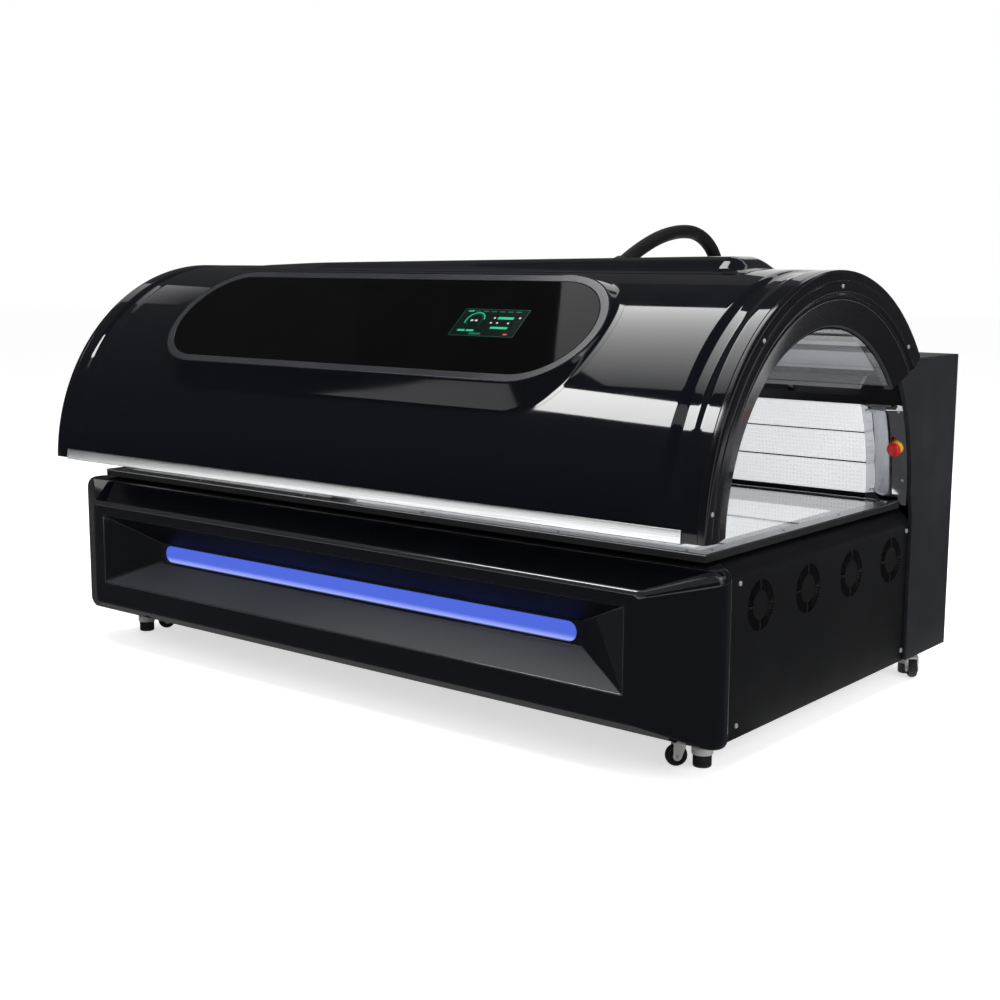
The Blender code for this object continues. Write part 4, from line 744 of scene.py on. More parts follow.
def lit(tree, shader, colour, strength):
    """Emission in a colour that a socket gives."""
    tree.links.new(colour, shader.inputs["Emission Color"])
    shader.inputs["Emission Strength"].default_value = strength


def gloss_material(name, colour, low, high, wave, dusty, specular=0.5):
    """Moulded gloss plastic: waves, haze and a little dust."""
    tree, shader = new_material(name, colour, low, specular=specular)
    hazed(tree, shader, 3.0, low, high)
    skin = place_group(tree, "moulding", Wave=wave, Peel=0.000004)
    tree.links.new(skin["Normal"], shader.inputs["Normal"])
    dust = place_group(tree, "dust", Amount=dusty)["Mask"]
    two_tone(tree, shader, dust, colour, tuple(DUST_TONE + c for c in colour))


def grained_material(name, colour, tone, low, high, depth, scale=900.0, metallic=0.0, specular=0.5):
    """Powder coat, moulded rubber or matt plastic: grain, haze and a slight change of tone."""
    tree, shader = new_material(name, colour, low, metallic, specular)
    hazed(tree, shader, 6.0, low, high)
    grain = place_group(tree, "grain", Scale=scale, Depth=depth)
    tree.links.new(grain["Normal"], shader.inputs["Normal"])
    two_tone(tree, shader, grain["Shade"], colour, tone)


def brushed_material(name, colour, tone, low, high, depth, scale=260.0):
    """Brushed or drawn metal."""
    tree, shader = new_material(name, colour, low, 1.0)
    brush = place_group(tree, "brushed", Scale=scale, Depth=depth)
    tree.links.new(spread(tree, brush["Lines"], 0.3, 0.7, low, high), shader.inputs["Roughness"])
    tree.links.new(brush["Normal"], shader.inputs["Normal"])
    two_tone(tree, shader, brush["Lines"], colour, tone)


def board_material(name, colour, package, lens, glow):
    """LED board: solder mask, packages in rows, and their lenses, glowing as painted light in the tunnel's
    shade.
    """
    tree, shader = new_material(name, colour, 0.45)
    rows = place_group(tree, "diodes", Pitch=DIODE_PITCH, Size=DIODE_SIZE)
    diode = mixed(tree, rows["Lens"], package, lens)
    face = mixed(tree, rows["Package"], colour, diode)
    tree.links.new(face, shader.inputs["Base Color"])
    # Painted glow: the board's face emits its own colour, standing in for light that reaches it in shade
    lit(tree, shader, face, glow)
    tree.links.new(rows["Normal"], shader.inputs["Normal"])
    hazed(tree, shader, 7.0, 0.35, 0.55)


def clear_material(name, colour, high):
    """Clear acrylic sheet with faint wipe haze."""
    tree, shader = new_material(name, colour, 0.01)
    shader.inputs["Transmission Weight"].default_value = 1.0
    shader.inputs["IOR"].default_value = ACRYLIC_IOR
    hazed(tree, shader, 5.0, 0.0, high)


def glow_material(name, colour, edge, strength):
    """Frosted light bar: its lower edge glows paler than the middle."""
    tree, shader = new_material(name, tuple(c * 0.12 for c in colour), 0.35)
    height = split_axes(tree, object_place(tree))["Z"]
    pale = spread(tree, height, BAR_Z - BAR_RADIUS, BAR_Z - BAR_PALE_SHARE * BAR_RADIUS, 1.0, 0.0,
                  interpolation_type="SMOOTHSTEP")
    speck = place_group(tree, "haze", Scale=60.0, Low=0.9, High=1.0)["Roughness"]
    lit(tree, shader, mixed(tree, math_node(tree, "MULTIPLY", pale, speck), colour, edge), strength)


def lit_mark_material(name, colour, strength):
    """Lit mark on the touch screen, with the fine cell pattern of a display."""
    tree, shader = new_material(name, tuple(c * 0.1 for c in colour), 0.2)
    cells = place_group(tree, "grain", Scale=1500.0, Depth=0.0)["Shade"]
    lit(tree, shader, mixed(tree, cells, tuple(c * 0.75 for c in colour), colour), strength)


def sleeve_material(name, colour, dark, pale):
    """Woven sleeve over the hose's ribs, painted darker in its grooves as shade."""
    tree, shader = new_material(name, colour, 0.6, specular=0.25)
    sleeve = place_group(tree, "sleeve", Pitch=0.0052, Depth=0.0006)
    tree.links.new(sleeve["Normal"], shader.inputs["Normal"])
    two_tone(tree, shader, sleeve["Shade"], dark, pale)
    hazed(tree, shader, 30.0, 0.5, 0.7)


# Gloss: colour, lowest and highest roughness, height of the waves, dust, specular level
GLOSS_FINISHES = {
    "gloss_black": ((0.0032, 0.0037, 0.0062), 0.03, 0.06, 0.0005, 0.05),
    "ring_black": ((0.004, 0.004, 0.006), 0.10, 0.17, 0.0003, 0.06),
    "display_black": ((0.0024, 0.0024, 0.0027), 0.02, 0.04, 0.0001, 0.02, 0.05),
    "flare_slate": ((0.030, 0.032, 0.038), 0.34, 0.44, 0.0002, 0.05),
    # Painted sheen: the fascia's gloss black painted paler on the recess's lower facet, where the light bar
    # lights it
    "recess_satin": ((0.020, 0.022, 0.029), 0.36, 0.46, 0.0001, 0.05),
    # Painted highlight: paler, more reflective black on the fascia's upward edges and the recess's mitres,
    # where highlight lines fall
    "buffed_edge": ((0.020, 0.021, 0.025), 0.10, 0.16, 0.0001, 0.0, 1.0),
    "recess_black": ((0.004, 0.004, 0.006), 0.42, 0.52, 0.0001, 0.0, 0.15),
    "screen_green": ((0.002, 0.006, 0.005), 0.10, 0.16, 0.0, 0.0),
}
# Grained: two tones, lowest and highest roughness, depth and scale of the grain, metallic, specular level
GRAINED_FINISHES = {
    "bezel_grey": ((0.019, 0.020, 0.025), (0.027, 0.028, 0.034), 0.20, 0.28, 0.00001),
    "satin_black": ((0.0036, 0.0038, 0.0050), (0.0056, 0.0059, 0.0072), 0.34, 0.44, 0.00003, 900.0, 0.0,
                    0.22),
    "cabinet_grey": ((0.013, 0.014, 0.018), (0.019, 0.020, 0.025), 0.45, 0.56, 0.00004, 900.0, 0.0, 0.35),
    "matte_black": ((0.010, 0.010, 0.011), (0.016, 0.016, 0.017), 0.55, 0.68, 0.00004),
    "rubber_black": ((0.010, 0.010, 0.010), (0.018, 0.018, 0.018), 0.55, 0.72, 0.00006, 600.0),
    "caster_grey": ((0.50, 0.50, 0.48), (0.60, 0.60, 0.58), 0.32, 0.45, 0.00003),
    "frame_steel": ((0.10, 0.10, 0.11), (0.16, 0.16, 0.17), 0.45, 0.60, 0.00005, 500.0, 0.7),
    "rail_grey": ((0.20, 0.20, 0.21), (0.26, 0.26, 0.27), 0.35, 0.45, 0.00003),
    "stop_red": ((0.60, 0.010, 0.008), (0.68, 0.016, 0.012), 0.22, 0.32, 0.00001),
    "stop_yellow": ((0.82, 0.46, 0.015), (0.88, 0.54, 0.025), 0.28, 0.38, 0.00001),
    "screw_steel": ((0.52, 0.53, 0.55), (0.62, 0.63, 0.65), 0.20, 0.32, 0.00001, 900.0, 0.45),
}
# Brushed: two tones, lowest and highest roughness, depth and scale of the lines
BRUSHED_FINISHES = {
    "aluminium": ((0.88, 0.89, 0.90), (0.94, 0.95, 0.96), 0.18, 0.25, 0.000005),
    "rim_steel": ((0.22, 0.225, 0.24), (0.29, 0.295, 0.31), 0.18, 0.26, 0.000006),
    "mirror_steel": ((0.46, 0.47, 0.49), (0.52, 0.53, 0.55), 0.03, 0.08, 0.000002, 60.0),
    "contact_brass": ((0.72, 0.56, 0.24), (0.80, 0.64, 0.30), 0.25, 0.35, 0.00001, 900.0),
}
# Boards: solder mask, package, lens, glow; the glow is painted light that brightens the boards in the
# tunnel's shade, their LEDs being off
BOARD_FINISHES = {
    "led_white": ((0.80, 0.81, 0.83), (0.42, 0.42, 0.44), (0.80, 0.79, 0.74), 0.60),
    "board_grey": ((0.30, 0.31, 0.33), (0.20, 0.20, 0.21), (0.40, 0.39, 0.35), 0.20),
}
MARK_COLOURS = {
    "mark_green": (0.010, 0.60, 0.28),
    "mark_dim": (0.005, 0.11, 0.060),
    "mark_white": (0.70, 0.72, 0.72),
    "mark_red": (0.45, 0.08, 0.07),
}


def make_materials():
    groups = (haze_group, moulding_group, grain_group, brushed_group, diode_group, sleeve_group, dust_group)
    for make in groups:
        tree = make()
        GROUPS[tree.name] = tree
    families = ((gloss_material, GLOSS_FINISHES), (grained_material, GRAINED_FINISHES),
                (brushed_material, BRUSHED_FINISHES), (board_material, BOARD_FINISHES))
    for make, finishes in families:
        for name, values in finishes.items():
            make(name, *values)
    for name, colour in MARK_COLOURS.items():
        lit_mark_material(name, colour, 1.0)
    clear_material("clear_sheet", (0.97, 0.98, 0.99), 0.006)
    glow_material("light_blue", (0.066, 0.125, 0.68), (0.38, 0.45, 1.0), 1.0)
    sleeve_material("hose_black", (0.008, 0.008, 0.009), (0.004, 0.004, 0.005), (0.012, 0.012, 0.013))


# Finishes of the CAD nodes that stay in view: start of the node's name, finish, width of its eased edges
NODE_FINISHES = [
    ("floor_pan", "frame_steel", 0.0015),
    ("front_beam", "frame_steel", 0.001),
    ("rear_frame", "frame_steel", 0.001),
    ("bed_deck", "matte_black", 0.0015),
    ("bed_clear_sheet", "clear_sheet", 0.001),
    ("fan_rack", "matte_black", 0.0),
    ("fan_rotor", "matte_black", 0.0),
    ("cabinet_end", "cabinet_grey", 0.0015),
    ("cabinet_cover", "cabinet_grey", 0.0012),
    ("back_wall", "satin_black", 0.0),
    ("end_trim", "mirror_steel", 0.0),
    ("power_supply", "aluminium", 0.0015),
    ("power_inlet", "satin_black", 0.0006),
    ("gas_spring_barrel", "satin_black", 0.0),
    ("gas_spring_rod", "screw_steel", 0.0),
    ("canopy_led_tray", "matte_black", 0.0),
    ("canopy_rear_rail", "rail_grey", 0.001),
    ("hinge_arm", "frame_steel", 0.0012),
    ("caster_body", "caster_grey", 0.0010),
]


def ease_edges(node, width):
    bevel = node.modifiers.new("eased edges", "BEVEL")
    bevel.width = width
    bevel.segments = 2
    bevel.limit_method = "ANGLE"
    bevel.angle_limit = math.radians(40.0)
    bevel.harden_normals = True


def finish_nodes():
    """Gives each CAD node that stays its finish, with eased edges where the real one has them."""
    for name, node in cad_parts.items():
        for start, finish, edge in NODE_FINISHES:
            if not name.startswith(start):
                continue
            mesh = node.data
            mesh.materials.clear()
            mesh.materials.append(MATERIALS[finish])
            if "custom_normal" in mesh.attributes:
                mesh.attributes.remove(mesh.attributes["custom_normal"])
            shade(mesh, SHARP_ANGLE)
            weld = node.modifiers.new("weld", "WELD")
            weld.merge_threshold = 1e-5
            if edge:
                ease_edges(node, edge)
            if finish == "clear_sheet":
                node.visible_shadow = False


# Canopy

def canopy_rows(profile_at, first, last, count):
    """Rows of an (x, radius) section carried round the tunnel's axis between two angles."""
    rows = []
    for degrees in steps_between(first, last, count):
        rows.append([Vector((point.x, *polar(point.y, degrees))) for point in profile_at(degrees)])
    return rows


def swept(section, first, last, count, columns=None):
    """A mesh of one section carried round the tunnel's axis."""
    return lofted(canopy_rows(lambda degrees: section, first, last, count), columns=columns)


def shell_profile(degrees):
    """Section of the shell at an angle, with the pressed band near each end, as (x, radius) points."""
    press = BAND_DEPTH * ease(degrees, BAND_START, BAND_START + BAND_FADE)
    press *= 1.0 - ease(degrees, BAND_END - BAND_FADE, BAND_END)
    half = BAND_WIDTH / 2
    right = [(BAND_X - half, 0.0), (BAND_X - half + BAND_RAMP, press), (BAND_X + half - BAND_RAMP, press),
             (BAND_X + half, 0.0), (SHELL_HALF, 0.0)]
    skin = [(-x, depth) for x, depth in reversed(right)] + right
    outer = [Vector((x, SHELL_RADIUS - depth)) for x, depth in skin]
    inner = [Vector((x, SHELL_RADIUS - SHELL_WALL - depth)) for x, depth in reversed(skin)]
    setbacks = [SHELL_EDGE] + [BAND_EASE] * (len(skin) - 2) + [SHELL_EDGE]
    return rounded(outer + inner, setbacks + [0.0] * len(inner), 4)


def make_shell():
    rows = canopy_rows(shell_profile, CANOPY_FRONT, CANOPY_REAR, SHELL_STEPS)
    piece("moulded_shell", lofted(rows), ["gloss_black"], "canopy", ["canopy_shell"],
          flats=True)


def ring_profile():
    """Section of the right end ring as (x, radius) points, and the finish of the strip after each."""
    end, groove = CANOPY_HALF, RING_GROOVE_RADIUS
    step_x = end - RING_STEP
    inside_x = step_x - RING_STEP
    bead_radius = SHELL_RADIUS - RING_BEAD
    web_radius = FLARE_END_RADIUS + RING_SHEET
    points = eased([
        (RING_BACK_X, SHELL_RADIUS, 0.0012),
        (end, SHELL_RADIUS, 0.010),
        (end, groove + RING_GROOVE, 0.0012),
        (end - RING_GROOVE, groove, 0.0008),
        (end, groove - RING_GROOVE, 0.0012),
        (end, RING_BAND_RADIUS, 0.0025),
        (step_x, RING_BAND_RADIUS - RING_STEP, 0.0015),
        (step_x, RING_LIP_RADIUS, 0.0025),
        (FLARE_END_X, FLARE_END_RADIUS, 0.004),
        (RING_WEB_X, FLARE_END_RADIUS, 0.0),
        (RING_WEB_X, web_radius, 0.0),
        (FLARE_END_X - RING_SHEET / 2, web_radius, 0.0),
        (inside_x, RING_LIP_RADIUS, 0.0),
        (inside_x, bead_radius, 0.0),
        (RING_BACK_X, bead_radius, 0.0),
    ])
    columns = []
    for point in points:
        flared = RING_WEB_X - 0.001 < point.x < step_x - 0.001 and point.y < RING_LIP_RADIUS + 0.003
        columns.append(1 if flared else 0)
    return points, columns


def make_end_rings():
    """Rings in two lengths that meet at a fine butt joint, with the screws that hold them."""
    points, columns = ring_profile()
    for name, side in SIDES.items():
        section = [Vector((side * p.x, p.y)) for p in points]
        joint = RING_JOINTS[name]
        arcs = []
        for first, last in ((CANOPY_FRONT, joint - RING_SEAM), (joint + RING_SEAM, CANOPY_REAR)):
            steps = max(RING_LEAST_STEPS, round(last - first))
            arcs.append(swept(section, first, last, steps, columns))
        piece("end_ring_" + name, joined(arcs), ["ring_black", "flare_slate"], "canopy",
              ["canopy_end_ring_" + name], smooth=RING_SHARP_ANGLE, flats=True)
        places = []
        for degrees, radius in RING_SCREWS:
            y, z = polar(radius, degrees)
            places.append(at(side * (CANOPY_HALF - RING_SCREW_SINK), y, z) @ tilt("Y", 90.0 * side))
        steel_screws("ring_screws_" + name, places, RING_SCREW, "canopy")


def make_ring_ends():
    """Plates that close the rings' two cut ends, just inside their skin."""
    inset = RING_SHEET / 2
    corners = [(RING_BACK_X, SHELL_RADIUS - inset), (CANOPY_HALF - inset, SHELL_RADIUS - inset),
               (CANOPY_HALF - inset, RING_BAND_RADIUS), (CANOPY_HALF - RING_STEP - inset, RING_LIP_RADIUS),
               (FLARE_END_X - inset, FLARE_END_RADIUS + inset), (RING_WEB_X, FLARE_END_RADIUS + inset)]
    for name, side in SIDES.items():
        section = [Vector((side * x, r)) for x, r in corners]
        plates = []
        for first in (CANOPY_FRONT + RING_END_GAP, CANOPY_REAR - RING_END_GAP - RING_END_TURN):
            plates.append(swept(section, first, first + RING_END_TURN, 1))
        piece("ring_ends_" + name, joined(plates), ["satin_black"], "canopy")


def make_grip_strip():
    """Aluminium strip with rounded edges and a flange below that closes the canopy's wall."""
    outer = GRIP_INNER + GRIP_SHEET
    turns = steps_between(CANOPY_FRONT, GRIP_HIGH_ANGLE, 4)
    section = [polar(GRIP_INNER, a) for a in turns] + [polar(outer, a) for a in reversed(turns)]
    section += [polar(outer, GRIP_LOW_ANGLE), polar(LINER_RADIUS, GRIP_LOW_ANGLE)]
    section.append(polar(LINER_RADIUS, CANOPY_FRONT - GRIP_FLANGE_GAP))
    setbacks = [0.0] * 4 + [0.0006, 0.0012] + [0.0] * 4 + [0.0016, 0.0006, 0.0006]
    shape = rounded([Vector(p) for p in section], setbacks, 3)
    rows = [[Vector((x, p.x, p.y)) for p in shape] for x in (-GRIP_HALF, 0.0, GRIP_HALF)]
    piece("grip_edge", lofted(rows), ["aluminium"], "canopy", ["grip_strip"], flats=True)


def on_shell(x, y, lift=0.0):
    """Point on the shell's outside above a plan position."""
    reach = (SHELL_RADIUS + lift) ** 2 - (y - AXIS_Y) ** 2
    return Vector((x, y, AXIS_Z + math.sqrt(reach)))


def housing_section(x, rise):
    """Section across the crown cover at one place, from its front foot to its rear foot."""
    def foot(y):
        return on_shell(x, y, 0.0005)

    def bend(y):
        return on_shell(x, y, 0.0015)

    def edge(y):
        return on_shell(x, y, 0.0008) if rise is None else Vector((x, y, CROWN_Z + rise))

    points = [foot(HOUSING_FRONT_Y - HOUSING_FOOT), bend(HOUSING_FRONT_Y),
              edge(HOUSING_FRONT_Y + HOUSING_SLOPE), edge(HOUSING_REAR_Y - HOUSING_SLOPE),
              bend(HOUSING_REAR_Y), foot(HOUSING_REAR_Y + HOUSING_FOOT)]
    return rounded(points, [0.0, 0.018, 0.022, 0.022, 0.018, 0.0], 8, closed=False)


def make_housing():
    """Moulded cover along the crown that runs out to the left, its foot flowing onto the shell."""
    stations = [
        (HOUSING_LEFT_X - HOUSING_FOOT, None, 0.0),
        (HOUSING_LEFT_X + HOUSING_TOE, HOUSING_TOE_RISE, 0.025),
        (HOUSING_LEFT_X + HOUSING_TAPER, HOUSING_LEFT_RISE, 0.060),
        (HOUSING_RIGHT_X - HOUSING_END_SLOPE, HOUSING_RISE, 0.024),
        (HOUSING_RIGHT_X, None, 0.017),
        (HOUSING_RIGHT_X + HOUSING_FOOT, None, 0.0),
    ]
    sections = [housing_section(x, rise) for x, rise, setback in stations]
    rows = rounded_rows(sections, [setback for x, rise, setback in stations], 10)
    cover = lofted(rows, closed=False, caps=False)
    piece("crown_cover", cover, ["gloss_black"], "canopy", ["crown_housing"],
          smooth=SOFT_ANGLE, flats=True)


def display_frame(depth):
    """Frame of the display: x along the bed, y up the glass, z out of it, at a depth under its face."""
    y, z = polar(DISPLAY_FACE - depth, DISPLAY_ANGLE)
    return at(DISPLAY_X, y, z) @ tilt("X", 90.0 - DISPLAY_ANGLE)


def skirt_meeting(top, foot):
    """Where the line from the bezel's edge down the skirt meets the shell."""
    low, high = 0.0, 1.0
    for halving in range(30):
        middle = (low + high) / 2
        spot = top.lerp(foot, middle)
        outside = math.hypot(spot.y - AXIS_Y, spot.z - AXIS_Z) > SHELL_RADIUS + 0.0006
        low, high = (middle, high) if outside else (low, middle)
    return top.lerp(foot, low)


def make_display():
    """Moulded surround flowing into the shell, satin bezel, dark glass and the touch screen."""
    face, deep = display_frame(0.0), display_frame(SKIRT_DEPTH)

    def ring(border, lift=0.0, place=face):
        half, high = GLASS_HALF + BEZEL_BORDER, GLASS_HIGH + BEZEL_BORDER
        outline = stadium(half + border, high + border, DISPLAY_STEPS)
        return [place @ Vector((x, y, lift)) for x, y in outline]

    edge = ring(0.0)
    skirt = [skirt_meeting(a, b) for a, b in zip(edge, ring(SKIRT_BORDER, place=deep))]
    centre = face @ Vector((0, 0, 0))
    hem = []
    for spot, outward in zip(skirt, ring(SKIRT_FOOT * 3)):
        away = spot + (outward - centre).normalized() * SKIRT_FOOT
        reach = Vector((away.y - AXIS_Y, away.z - AXIS_Z)).normalized() * (SHELL_RADIUS + 0.0005)
        hem.append(Vector((away.x, AXIS_Y + reach.x, AXIS_Z + reach.y)))
    shelf = ring(-0.001, -0.0006)
    under = ring(-BEZEL_BORDER - 0.004, -0.004)
    rows = rounded_rows([hem, skirt, edge, shelf, under], [0.0, 0.010, 0.005, 0.0, 0.0], 5)
    piece("display_skirt", lofted(rows, caps=False), ["gloss_black"], "canopy", ["display_surround"],
          smooth=SOFT_ANGLE, flats=True)

    inside = -BEZEL_BORDER + 0.0006
    bezel = [ring(-0.003, -0.0012), ring(-0.003), ring(inside), ring(inside, -0.0030)]
    bezel = lofted(rounded_rows(bezel, [0.0, 0.002, 0.0012, 0.0], 3), caps=False)
    piece("display_bezel", bezel, ["bezel_grey"], "canopy", flats=True)

    glass = []
    for inset, lift in ((0.0, -GLASS_SHEET), (0.0, -0.0014), (0.0012, -0.0003)):
        outline = stadium(GLASS_HALF - inset, GLASS_HIGH - inset, DISPLAY_STEPS)
        glass.append([face @ Vector((x, y, lift)) for x, y in outline])
    piece("display_pane", lofted(glass), ["display_black"], "canopy", ["display_glass"],
          flats=True)
    make_screen(face)


def bar_mark(place, across, up, width, height, radius):
    outline = rectangle(width / 2, -height / 2, height / 2, radius, 4)
    levels = (0.0, MARK_HEIGHT)
    return lofted([[place @ Vector((across + x, up + y, z)) for x, y in outline] for z in levels])


def arc_mark(place, across, up, radius, width, start, end):
    inner, outer = radius - width / 2, radius + width / 2
    section = [(inner, 0.0), (outer, 0.0), (outer, MARK_HEIGHT), (inner, MARK_HEIGHT)]
    rows = []
    for degrees in steps_between(start, end, 40):
        right, above = math.cos(math.radians(degrees)), math.sin(math.radians(degrees))
        rows.append([place @ Vector((across + r * right, up + r * above, z)) for r, z in section])
    return lofted(rows)


def make_screen(face):
    """Touch screen with generic lit marks: a dial, bars and dots."""
    screen = face @ at(SCREEN_MIDDLE, SCREEN_RISE, 0.0)
    half, high = SCREEN_WIDTH / 2, SCREEN_HEIGHT / 2
    panel = slab(screen, half, -high, high, 0.002, 0.003, 0.0004)
    piece("screen_panel", panel, ["screen_green"], "canopy", ["touch_screen"])
    front = screen @ at(0, 0, MARK_HEIGHT)

    def bars(sizes):
        return [bar_mark(front, *size) for size in sizes]

    def dial(radius, width, start, end):
        return arc_mark(front, *DIAL_PLACE, radius, width, start, end)

    dim = bars((-0.078 + 0.024 * i, 0.037, 0.016, 0.0035, 0.001) for i in range(7))
    dim.append(dial(0.021, 0.0012, -40.0, 220.0))
    dim += bars([(-0.020, -0.037, 0.034, 0.007, 0.002)])
    inset, line = 0.002, 0.0008
    dim += bars((0.0, side * (high - inset), SCREEN_WIDTH - 2 * inset, line, 0.0003) for side in (-1, 1))
    dim += bars((side * (half - inset), 0.0, line, SCREEN_HEIGHT - 2 * inset, 0.0003) for side in (-1, 1))
    green = [dial(0.026, 0.0026, 10.0, 200.0)]
    green += bars([(0.040, 0.016, 0.046, 0.0075, 0.002), (0.038, -0.016, 0.050, 0.0065, 0.002),
                   (-0.066, -0.027, 0.022, 0.006, 0.0015), (-0.040, -0.027, 0.022, 0.006, 0.0015),
                   (-0.074, 0.037, 0.016, 0.005, 0.001)])
    dots = ((0.008, 0.016), (0.006, 0.0), (0.024, 0.0), (0.056, 0.0), (0.080, 0.018))
    white = bars((x, y, 0.0055, 0.0050, 0.0024) for x, y in dots)
    white += bars((x, 0.006, 0.0075, 0.005, 0.001) for x in (-0.054, -0.041))
    red = bars([(0.068, -0.036, 0.012, 0.005, 0.0024)])
    marks = {"screen_marks_dim": (dim, "mark_dim"), "screen_marks_green": (green, "mark_green"),
             "screen_marks_white": (white, "mark_white"), "screen_mark_red": (red, "mark_red")}
    for name, (meshes, finish) in marks.items():
        piece(name, joined(meshes), [finish], "canopy")


def make_clear_arch():
    """Clear inner sheet as a smooth arch between the two flares."""
    low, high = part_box("canopy_clear_sheet")
    inner, outer = LINER_RADIUS, LINER_RADIUS + LINER_SHEET
    corners = ((low.x, inner), (high.x, inner), (high.x, outer), (low.x, outer))
    arch = swept([Vector(corner) for corner in corners], CANOPY_FRONT, LINER_LAST, ARCH_STEPS)
    arch = piece("clear_arch", arch, ["clear_sheet"], "canopy", ["canopy_clear_sheet"],
                 flats=True)
    arch.visible_shadow = False


def make_canopy_boards():
    """Grey LED boards on the tray's folded faces, in three lengths each."""
    folds = steps_between(TRAY_FIRST, TRAY_LAST, TRAY_FACETS)
    inner = TRAY_RADIUS - TRAY_SHEET
    gaps = (CANOPY_BOARD_PIECES - 1) * CANOPY_BOARD_GAP
    length = (2 * CANOPY_BOARD_HALF - gaps) / CANOPY_BOARD_PIECES
    half_width = CANOPY_BOARD_WIDTH / 2
    for i, (first, last) in enumerate(zip(folds, folds[1:])):
        middle = (first + last) / 2
        chord = inner * math.cos(math.radians((last - first) / 2))
        y, z = polar(chord - BOARD_SHEET, middle)
        place = at(0, y, z) @ tilt("X", -90.0 - middle)
        boards = []
        for k in range(CANOPY_BOARD_PIECES):
            start = -CANOPY_BOARD_HALF + k * (length + CANOPY_BOARD_GAP)
            spot = place @ at(start + length / 2, 0, 0)
            boards.append(slab(spot, length / 2, -half_width, half_width, BOARD_SHEET))
        name = "canopy_boards_%d" % (i + 1)
        row = piece(name, joined(boards), ["board_grey"], "canopy")
        flat_uv(row, place)


# Base

def fascia_ring(y, half, low, high, radius):
    return [Vector((x, y, z)) for x, z in rectangle(half, low, high, radius, 8)]


def fascia_finish(middle, normal):
    """Number of a fascia face's finish, from its middle and normal."""
    recessed = abs(middle.x) < RECESS_HALF and RECESS_LOW < middle.z < RECESS_HIGH
    sloped = FASCIA_FRONT_Y + 0.002 < middle.y < RECESS_FLOOR_Y - 0.001
    mitre = min(abs(normal.x), abs(normal.z)) > 0.2
    front_edge = middle.y < FASCIA_FRONT_Y + FASCIA_EDGE and abs(normal.y) < 0.995
    # Faces painted as highlight lines: the recess's front edge and sloped mitres, and elsewhere only
    # upward-facing front edges and mitres
    if recessed:
        is_painted_highlight = front_edge or sloped and mitre
    else:
        is_painted_highlight = normal.z > 0.1 and (front_edge or mitre and middle.y < FASCIA_BEND_Y)
    if is_painted_highlight:
        return FASCIA_FINISHES.index("buffed_edge")
    # The recess's lower facet gets a paler copy of the black as painted sheen, the upper facet a duller
    # black
    if recessed and sloped and abs(normal.z) > 0.5:
        return FASCIA_FINISHES.index("recess_satin" if normal.z > 0 else "recess_black")
    return FASCIA_FINISHES.index("gloss_black")


def make_fascia():
    """Moulded front: returns at its rear, tapers to the face, and sinks to the light bar's slot."""
    slot_half, slot_high = BAR_HALF + BAR_FIT, BAR_RADIUS + BAR_FIT
    slot = (slot_half, BAR_Z - slot_high, BAR_Z + slot_high, slot_high - ROUND_END_FLAT)
    rings = FASCIA_RINGS + [(RECESS_FLOOR_Y, *slot, 0.0015), (BAR_FACE_Y + 0.010, *slot, 0.0)]
    rows = rounded_rows([fascia_ring(*ring[:-1]) for ring in rings], [ring[-1] for ring in rings], 6)
    bm = lofted(rows, caps=False)
    for face in bm.faces:
        face.material_index = fascia_finish(face.calc_center_median(), face.normal)
    fascia = piece("moulded_fascia", bm, FASCIA_FINISHES, "base", ["front_fascia"],
                   smooth=SOFT_ANGLE)
    wall = fascia.modifiers.new("wall", "SOLIDIFY")
    wall.thickness = FASCIA_WALL
    wall.offset = -1.0
    keep_flats(fascia)


def make_light_bar():
    """Frosted bar with a soft front edge."""
    def ring(y, inset):
        high = BAR_RADIUS - inset
        return fascia_ring(y, BAR_HALF - inset, BAR_Z - high, BAR_Z + high, high - ROUND_END_FLAT)

    rows = [ring(BAR_REAR_Y, 0.0), ring(BAR_FACE_Y, 0.0), ring(BAR_FACE_Y, 0.012)]
    bar = lofted(rounded_rows(rows, [0.0, 0.005, 0.0], 5))
    piece("frosted_bar", bar, ["light_blue"], "base", ["light_bar"], flats=True)


def slot_cutter():
    """Radial slots that widen outward, for all the grilles of one panel, in the panel's own plane."""
    corners = [(-SLOT_INNER_WIDTH, SLOT_INNER), (SLOT_INNER_WIDTH, SLOT_INNER),
               (SLOT_OUTER_WIDTH, SLOT_OUTER), (-SLOT_OUTER_WIDTH, SLOT_OUTER)]
    outline = eased([(width / 2, reach, SLOT_EASE) for width, reach in corners], 3)
    slots = []
    for y in FAN_PLACES:
        for i in range(SLOT_COUNT):
            if i % FAN_SCREW_STEP == 0:
                continue
            place = at(0, y, FAN_Z) @ tilt("X", 360.0 * i / SLOT_COUNT)
            ends = (-2 * PANEL_SHEET, 2 * PANEL_SHEET)
            slots.append(lofted([[place @ Vector((x, p.x, p.y)) for p in outline] for x in ends]))
    return joined(slots)


def cut_slots(panel, place):
    """Cuts the grille slots out of a panel's mesh for good."""
    mesh = bpy.data.meshes.new("slots")
    bm = slot_cutter()
    bm.transform(place)
    bm.to_mesh(mesh)
    bm.free()
    tool = bpy.data.objects.new("slots", mesh)
    bpy.context.scene.collection.objects.link(tool)
    step = panel.modifiers.new("slots", "BOOLEAN")
    step.object = tool
    step.operation = "DIFFERENCE"
    bpy.context.view_layer.update()
    whole = panel.data
    panel.data = bpy.data.meshes.new_from_object(panel.evaluated_get(bpy.context.evaluated_depsgraph_get()))
    panel.data.name = panel.name
    panel.modifiers.remove(step)
    bpy.data.objects.remove(tool)
    bpy.data.meshes.remove(mesh)
    bpy.data.meshes.remove(whole)
    shade(panel.data, SHARP_ANGLE)


